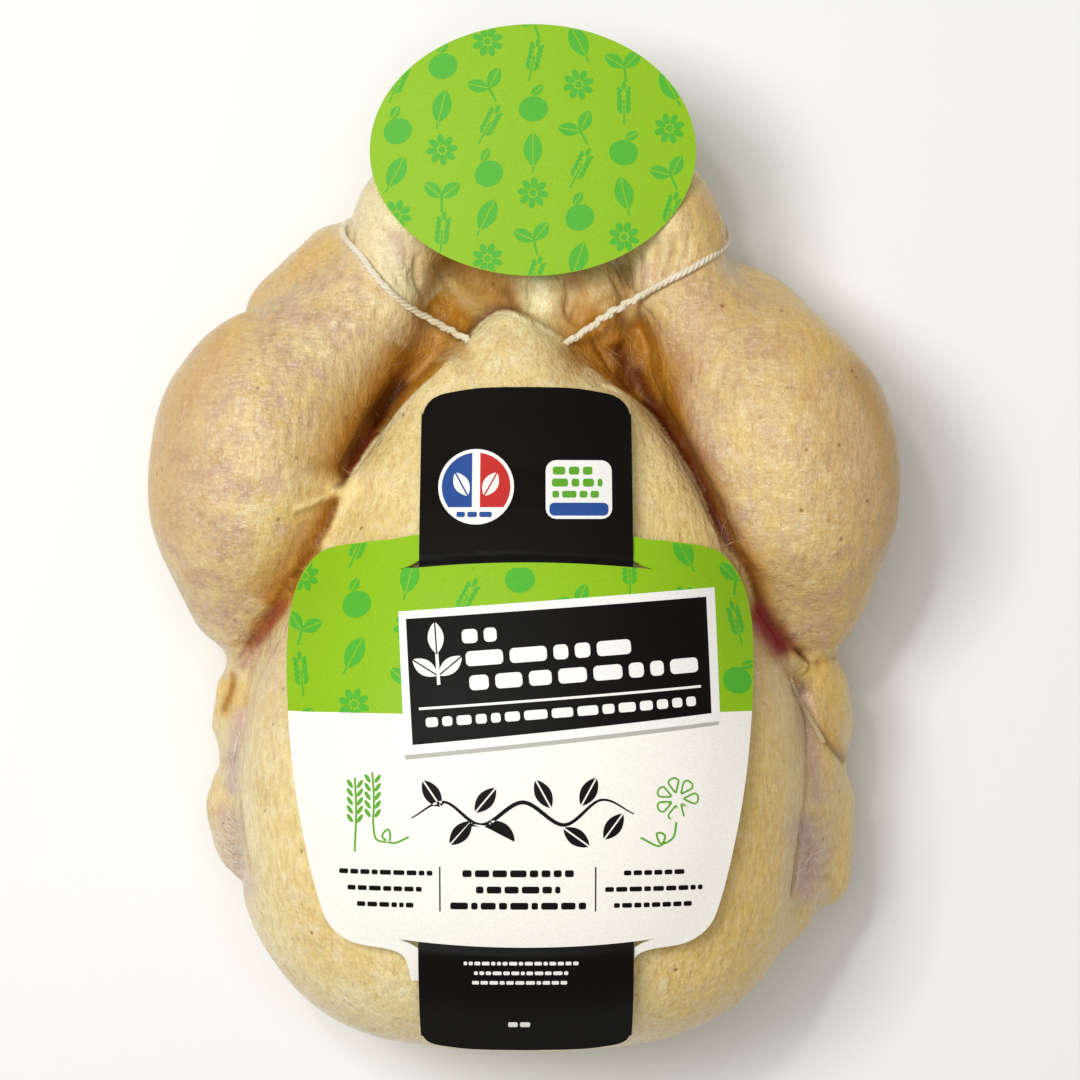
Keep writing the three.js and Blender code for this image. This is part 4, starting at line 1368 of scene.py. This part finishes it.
band_card = sheet("band_card", [band_outline()], 3, [TOP_SLIT_Y, END_SLIT_Y])
drape(band_card, over_band, 0, CARD)
finish_piece(band_card, BLACK, "label_band", CARD_ANGLE)


# Skin under a card stays under it by a small gap
UNDER_CARD_GAP = 0.35
UNDER_CARD_ABOVE = 60


def press_under_cards():
    points = places(skin)
    x, y = points[:, 0] / MM, points[:, 1] / MM
    sides = np.array(PANEL_SIDE)[::-1]
    half = np.interp(y + ORIGIN_SHIFT, sides[:, 1], sides[:, 0], left=0, right=0)
    in_panel = np.abs(x - PANEL_X) < half + 0.5
    in_band = (np.abs(x - BAND_X) < BAND_HALF_WIDTH + 2) & (y > BAND_END_Y - 3) & (y < BAND_TOP_Y + 2)
    most = (on_grid(BED, x, y) - UNDER_CARD_GAP) * MM
    high = (in_panel | in_band) & (points[:, 2] > most) & (points[:, 2] > UNDER_CARD_ABOVE * MM)
    points[high, 2] = most[high]
    set_places(skin, points)


press_under_cards()


# Motifs of the print, each some 9 mm across about its own middle: leaf, sprout, fruit, daisy and ear

def leaf_halves(length=9.0, width=4.6, vein=0.35):
    halves = []
    for side in (1, -1):
        rim = []
        for i in range(11):
            t = i / 10
            rim.append((side * (vein / 2 + width / 2 * math.sin(math.pi * t) ** 0.8), length * (t - 0.5)))
        halves.append(rim)
    return halves


def motif(kind):
    if kind == 0:
        return leaf_halves() + [bar(0, -5.4, 0.5, 1.6)]
    if kind == 1:
        left = placed(leaf_halves(6, 3.2), -2.4, 0.8, 1, 0.9)
        right = placed(leaf_halves(6, 3.2), 2.4, 0.8, 1, -0.9)
        return left + right + [bar(0, -2.9, 0.6, 4.4)]
    if kind == 2:
        return [ellipse(0, -0.8, 3.9, 3.4)] + placed(leaf_halves(4, 2), 1.6, 4.0, 1, -1.0)
    if kind == 3:
        turns = np.arange(8) * math.pi / 4
        petals = [ellipse(2.7 * math.cos(a), 2.7 * math.sin(a), 1.5, 0.9, a, 12) for a in turns]
        return petals + [ellipse(0, 0, 0.9, 0.9, count=12)]
    grains = [bar(0, -1.5, 0.4, 7.0)]
    for i in range(5):
        for side in (1, -1):
            grains.append(ellipse(side * 1.15, -1.0 + 1.35 * i, 0.55, 1.1, -side * 0.55, 10))
    return grains + [ellipse(0, 5.6, 0.6, 1.2, 0, 10)]


def scattered(regions, pitch_x, pitch_y, avoid=()):
    """Motifs in columns, each column dropped by half a step, kept to convex regions that meet."""
    xs = [x for region in regions for x, _ in region]
    ys = [y for region in regions for _, y in region]
    outlines = []
    for i in range(-8, 9):
        for j in range(-8, 9):
            x = (min(xs) + max(xs)) / 2 + i * pitch_x
            y = (min(ys) + max(ys)) / 2 + (j + 0.5 * (i % 2)) * pitch_y
            if any(x0 < x < x1 and y0 < y < y1 for x0, y0, x1, y1 in avoid):
                continue
            turn = 0.5 * math.sin(1.7 * i + 2.9 * j)
            for outline in placed(motif((i + 2 * j) % 5), x, y, 0.95, turn):
                cuts = [inside_convex(outline, region) for region in regions]
                outlines += [cut for cut in cuts if cut]
    return outlines


INK = 0.05


def printed(name, outlines, height, material, layer=1, pitch=3.0):
    """Ink as a thin layer that lies on its card, each layer on the one before."""
    piece = sheet(name, outlines, pitch)
    drape(piece, height, layer * INK, INK * 0.8)
    finish_piece(piece, material, None, CARD_ANGLE)
    return piece


oval_region = ellipse(*OVAL_MIDDLE, OVAL_HALF_WIDTH - 0.2, OVAL_HALF_LENGTH - 0.2, count=60)
printed("oval_print", scattered([oval_region], 11.5, 11), over_oval, LEAF_GREEN)

# The field is left out where the band lies over it, above the upper slit
green_fields = [
    [(-57.9, CREAM_TOP_Y), (56.3, CREAM_TOP_Y), (57.0, -29.6), (56.7, -18.6), (54.6, -10.1), (52.2, -6.4),
     (-53.8, -6.4), (-56.2, -10.1), (-58.3, -18.6), (-58.6, -29.6)],
    [(33.4, -6.4), (52.2, -6.4), (50.5, -4.2), (46.0, -1.6), (37.0, -0.2), (33.4, -0.2)],
    [(-53.8, -6.4), (-31.8, -6.4), (-31.8, -0.2), (-38.6, -0.2), (-47.6, -1.6), (-52.1, -4.2)],
]
hidden = [(-27, -48, 44, -17)]
printed("panel_print", scattered(green_fields, 13.5, 12.5, hidden), over_panel, LEAF_GREEN)

plaque_shadow = [(-28.4, -52.9), (47.9, -44.9), (48.2, -44.0), (-28.8, -51.4)]
plaque_rim = [(-28.6, -51.8), (48.4, -43.8), (47.5, -11.3), (-30.5, -17.1)]
plaque = [(-26.7, -49.3), (46.2, -42.0), (45.3, -13.6), (-28.6, -18.9)]
printed("plaque_shadow", [plaque_shadow], over_panel, GREY, 1)
printed("plaque_rim", [plaque_rim], over_panel, WHITE, 2)
printed("plaque_field", [plaque], over_panel, BLACK, 3)


# Short plain strokes in rows, and simple roundels

def strokes(x, y, length, height, seed, turn=0.0, gap=0.45):
    """A row of rounded strokes of uneven length, centred on a place."""
    draw = random.Random(seed)
    spots, run = [], 0.0
    while run < length:
        wide = min(height * draw.uniform(0.9, 2.6), length - run)
        if wide > height * 0.5:
            spots.append((run + wide / 2, wide))
        run += wide + height * gap
    row = []
    for centre, wide in spots:
        left = centre - length / 2 - wide / 2
        row.append(rounded(left, -height / 2, centre - length / 2 + wide / 2, height / 2, height * 0.3))
    return placed(row, x, y, 1, turn)


TILT = 0.075
heading = (
    strokes(-10.6, -22.8, 8.5, 3.4, 1, TILT) + strokes(7.6, -26.9, 43, 3.6, 2, TILT)
    + strokes(15.0, -32.2, 56, 3.6, 3, TILT) + [bar(9.2, -38.0, 69, 0.6, TILT)]
    + strokes(9.4, -41.4, 66, 2.3, 4, TILT)
)
printed("plaque_strokes", heading, over_panel, WHITE, 4)
sprout = placed(leaf_halves(7, 3.4), -3.1, 1.2, 1, 0.95) + placed(leaf_halves(7, 3.4), 3.1, 1.2, 1, -0.95)
sprout += [bar(0, 0.6, 0.8, 7.5), *placed(leaf_halves(7.5, 3.6), 0, 8.2)]
printed("plaque_sprout", placed(sprout, -20.6, -31.6, 1, TILT), over_panel, WHITE, 4)

# A garland in the middle of the cream field, with a line-drawn sprig and a line-drawn daisy beside it
stem = [(-27, -67), (-19, -63), (-10, -68.5), (0, -63), (10, -68.5), (19, -62.5), (27, -66)]
garland = [ribbon(stem, 1.0, 0.3)]
for x, y, turn in (
    (-22, -61, 0.6), (-15, -70.5, 2.4), (-5, -70, 0.9), (-9, -62.5, -0.7), (5, -61, 0.5), (13, -71.5, -2.2),
    (22, -69, 2.5), (16, -60.5, -0.5),
):
    garland += placed(leaf_halves(7.6, 3.6, 0.4), x, y, 1, turn)
printed("garland", garland, over_panel, BLACK)
LINE = 0.5
ear_stems = (
    [(-41.0, -75.5), (-40.6, -66), (-40.9, -57.5)],
    [(-36.4, -68.5), (-36.2, -62), (-36.6, -56)],
    [
        (-36.4, -68.5), (-35.6, -72.4), (-32.4, -72.6), (-32.6, -69.8), (-34.2, -71.6), (-31.4, -73.2),
        (-27.6, -71.6),
    ],
)
lines = [ribbon(stem, LINE) for stem in ear_stems]
for x, top in ((-40.9, -59.0), (-36.5, -57.6)):
    for i in range(5):
        for side in (1, -1):
            lines.append(ellipse(x + side * 1.25, top - 2.1 * i, 0.5, 1.25, -side * 0.6, 10))
DAISY = (37.6, -62.6)
# A petal's outline: its distances from the daisy's middle, and its turns off the petal's own direction
PETAL = ((1.5, 0), (4.6, -0.28), (5.2, 0), (4.6, 0.28), (1.7, 0.1))
for i in range(7):
    angle = 2 * math.pi * i / 7
    petal = [(DAISY[0] + r * math.cos(angle + a), DAISY[1] + r * math.sin(angle + a)) for r, a in PETAL]
    lines.append(ribbon(petal, 0.45))
daisy_stalk = [
    (37.4, -68.2), (36.6, -72), (33.6, -73.4), (32.6, -70.8), (34.6, -71.4), (33.2, -74), (28.6, -71.8),
]
lines.append(ribbon(daisy_stalk, LINE))
printed("line_art", lines, over_panel, LINE_GREEN)

small = []
for n, (x, wide, tall) in enumerate(((-33.4, 23, 1.2), (-1.1, 33, 1.7), (32.0, 24, 1.2))):
    for row in range(3):
        length = wide * (1.0, 0.82, 0.62)[(row + n) % 3]
        small += strokes(x, -80.4 - 4.0 * row, length, tall, 10 + 3 * n + row)
small += [bar(-20.1, -84.3, 0.35, 11), bar(17.7, -84.3, 0.35, 11)]
printed("small_strokes", small, over_panel, BLACK)

low_rows = []
for y, length, height, seed in (
    (-102.8, 28, 0.9, 31), (-105.3, 23, 0.9, 32), (-107.8, 24, 0.9, 33), (-119.2, 6.5, 1.3, 34),
):
    low_rows += strokes(-0.4, y, length, height, seed)
printed("band_strokes", low_rows, over_band, WHITE)

left_seal = (-11.6, 13.6)
discs = [ellipse(*left_seal, 9.4, 9.4, count=40), rounded(5.6, 5.6, 22.0, 20.2, 2.6)]
printed("seal_white", discs, over_band, WHITE)
roundel = ellipse(*left_seal, 8.5, 8.5, count=40)
left_half = inside_convex(roundel, [(-30, 8.5), (-12.6, 8.5), (-12.6, 30), (-30, 30)])
right_half = inside_convex(roundel, [(-10.6, 8.5), (10, 8.5), (10, 30), (-10.6, 30)])
foot = rounded(6.5, 6.4, 21.1, 9.6, 1.2)
seal_foot = strokes(left_seal[0], 6.7, 9.5, 1.3, 44)
printed("seal_blue", [left_half, foot, *seal_foot], over_band, BLUE, 2)
printed("seal_red", [right_half], over_band, RED, 2)
rows = strokes(12.6, 17.6, 10.5, 2.0, 41) + strokes(13.4, 14.6, 12.5, 2.0, 42)
rows += strokes(13.0, 11.7, 11.5, 1.7, 43)
printed("seal_green", rows, over_band, LINE_GREEN, 2)
crest = []
for side in (-1, 1):
    crest += placed(leaf_halves(6.4, 3.4, 0.4), left_seal[0] + side * 3.6, left_seal[1] + 0.6, 1, -side * 0.5)
printed("seal_leaf", crest, over_band, WHITE, 3)


# A plain pale floor and soft studio light from the upper left of the photograph. Each lamp has its place in
# metres, its size and its power.
LAMPS = (
    ("key", (-0.4, 0.16, 1.02), 0.32, 6.0), ("top", (-0.05, 0.05, 1.5), 0.7, 5.8),
    ("glint", (-0.2, 0.3, 1.1), 0.06, 1.3),
)
LAMP_AIM = Vector((0, 0, 0.03))
SKY = 0.28


def studio():
    bpy.ops.mesh.primitive_plane_add(size=6, location=(0, 0, 0))
    floor = bpy.context.object
    floor.name = "floor"
    material, tree = new_material("pale studio floor")
    surface = add(tree, "BsdfPrincipled", {"Base Color": linear("#F4F3F1"), "Roughness": 0.9})
    add(tree, "OutputMaterial", {"Surface": surface})
    floor.data.materials.append(material)
    for name, place, size, power in LAMPS:
        data = bpy.data.lights.new(name, "AREA")
        data.size = size
        data.energy = power
        light = bpy.data.objects.new(name, data)
        light.location = place
        light.rotation_euler = (LAMP_AIM - Vector(place)).to_track_quat("-Z", "Y").to_euler()
        scene.collection.objects.link(light)
    world = bpy.data.worlds.new("studio")
    scene.world = world
    world.use_nodes = True
    sky = world.node_tree.nodes["Background"]
    sky.inputs[0].default_value = linear("#FFFFFF")
    sky.inputs[1].default_value = SKY


studio()
scene.view_settings.view_transform = "Standard"
